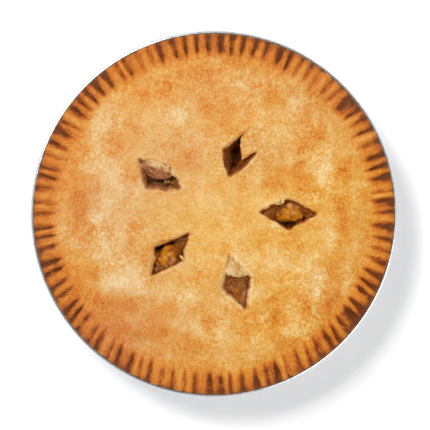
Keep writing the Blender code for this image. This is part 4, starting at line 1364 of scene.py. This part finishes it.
def apple_material(name):
    """Cooked apple: amber to brown flesh with faint fibres, wet with gel, and lightened at its glints by
    painted highlights.
    """
    nodes = Nodes(bpy.data.materials.new(name))
    fibre = nodes.noise(0.9 * MM, 3.0, 0.6)
    shade = nodes.added(nodes.tone("tone"), (nodes.noise(3.0 * MM, 3.0, 0.6, 0.8), 0.6), (fibre, 0.45))
    # Painted highlights: the fruit is paler at its glints.
    painted_glint = nodes.added(nodes.tone("pale"), (fibre, 0.4))
    return nodes.finished(
        Base_Color=nodes.mix(painted_glint, nodes.ramp(shade, FLESH), FLESH_PAINTED_GLINT),
        Roughness=0.4, Specular_IOR_Level=0.22, Specular_Tint=FLESH_SHEEN,
        Normal=nodes.bump(fibre, 0.5 * MM, 0.7),
        Subsurface_Weight=0.08, Subsurface_Radius=(1.0, 0.5, 0.2), Subsurface_Scale=1.5 * MM,
    )


def foil_material(name):
    """Thin bright aluminium, with the fine scratches and creases of pressing."""
    nodes = Nodes(bpy.data.materials.new(name))
    crease = nodes.noise(6.0 * MM, 4.0, 0.6)
    scratch = nodes.noise(0.6 * MM, 2.0, 0.5)
    return nodes.finished(
        Base_Color=nodes.ramp(crease, ALUMINIUM), Metallic=1.0,
        Roughness=nodes.ranged(scratch, 0.3, 0.7, 0.2, 0.36),
        Normal=nodes.bump(nodes.math("MULTIPLY_ADD", scratch, 0.12, crease), 0.3 * MM, 0.5),
    )


def floor_material(name):
    """Pale, dull floor with the faintest cloud."""
    nodes = Nodes(bpy.data.materials.new(name))
    return nodes.finished(Base_Color=nodes.ramp(nodes.noise(30 * MM, 3.0), FLOOR), Roughness=0.9)


# ---------------------------------------------------------------- studio


def make_studio():
    """Pale floor, soft light from the upper left, and white surroundings."""
    mesh = bpy.data.meshes.new("floor")
    corners = [(x * FLOOR_REACH, y * FLOOR_REACH, 0) for x, y in ((-1, -1), (1, -1), (1, 1), (-1, 1))]
    mesh.from_pydata(corners, [], [(0, 1, 2, 3)])
    mesh.materials.append(floor_material("floor_paint"))
    placed("floor", mesh)

    world = bpy.data.worlds.new("studio")
    nodes = Nodes(world)
    direction = nodes.place.node.outputs["Generated"]
    height = nodes.new("SeparateXYZ", (direction,)).outputs["Z"]
    greys = [(up, (grey, grey, grey, 1.0)) for up, grey in SURROUNDINGS]
    inputs = {"Color": nodes.ramp(height, greys), "Strength": SURROUNDINGS_POWER}
    nodes.feed(nodes.tree.nodes["Background"], inputs)
    bpy.context.scene.world = world
    bpy.context.scene.view_settings.view_transform = "Standard"

    for name, place, size, power in LIGHTS:
        light = bpy.data.lights.new(name, "AREA")
        light.shape, light.size, light.energy = "SQUARE", size, power
        lamp = placed(name, light)
        lamp.location = place
        lamp.rotation_euler = (Vector(LIGHTS_AIM) - Vector(place)).to_track_quat("-Z", "Y").to_euler()


def make_camera():
    """Straight above, so that the picture's scale is the photograph's."""
    camera = bpy.data.cameras.new("camera")
    camera.sensor_width = SENSOR
    camera.lens = SENSOR * (CAMERA_HEIGHT - LID_LEVEL) / (PICTURE_WIDTH * PIXEL)
    camera.clip_start, camera.clip_end = 0.05, 20.0
    holder = placed("camera", camera)
    # The pie's middle is one pixel left of and above the photograph's middle.
    holder.location = (PIXEL, -PIXEL, CAMERA_HEIGHT)
    bpy.context.scene.camera = holder


# ---------------------------------------------------------------- the pie


def main():
    """Makes every piece, hangs it on the root and hides the solid that it stands for."""
    crust, dough = pastry_material("golden_crust", BAKED), pastry_material("pale_dough", PALE)
    lid, stations = make_lid(crust)
    pieces = [
        (lid, "top_crust", "golden_crust"),
        (make_bottom_crust(stations, pastry_material("baked_shell", BAKED)), "bottom_crust", "baked_shell"),
        (make_filling(gel_material("filling_gel")), "apple_filling", "apple_filling"),
        (make_apples(apple_material("cooked_apple")), "apple_filling", "apple_filling"),
        (make_tin(foil_material("foil")), "foil_tin", "foil"),
        (make_crumbs(crust), "top_crust", "golden_crust"),
    ]
    for seed, name in enumerate(FLAPS, 4):
        flap = make_flap(name, seed, crust if name == "north" else dough)
        pieces.append((flap, "top_crust", "golden_crust"))
    for piece, node, slot in pieces:
        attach(piece, "root")
        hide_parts(node)
    make_studio()
    make_camera()


main()
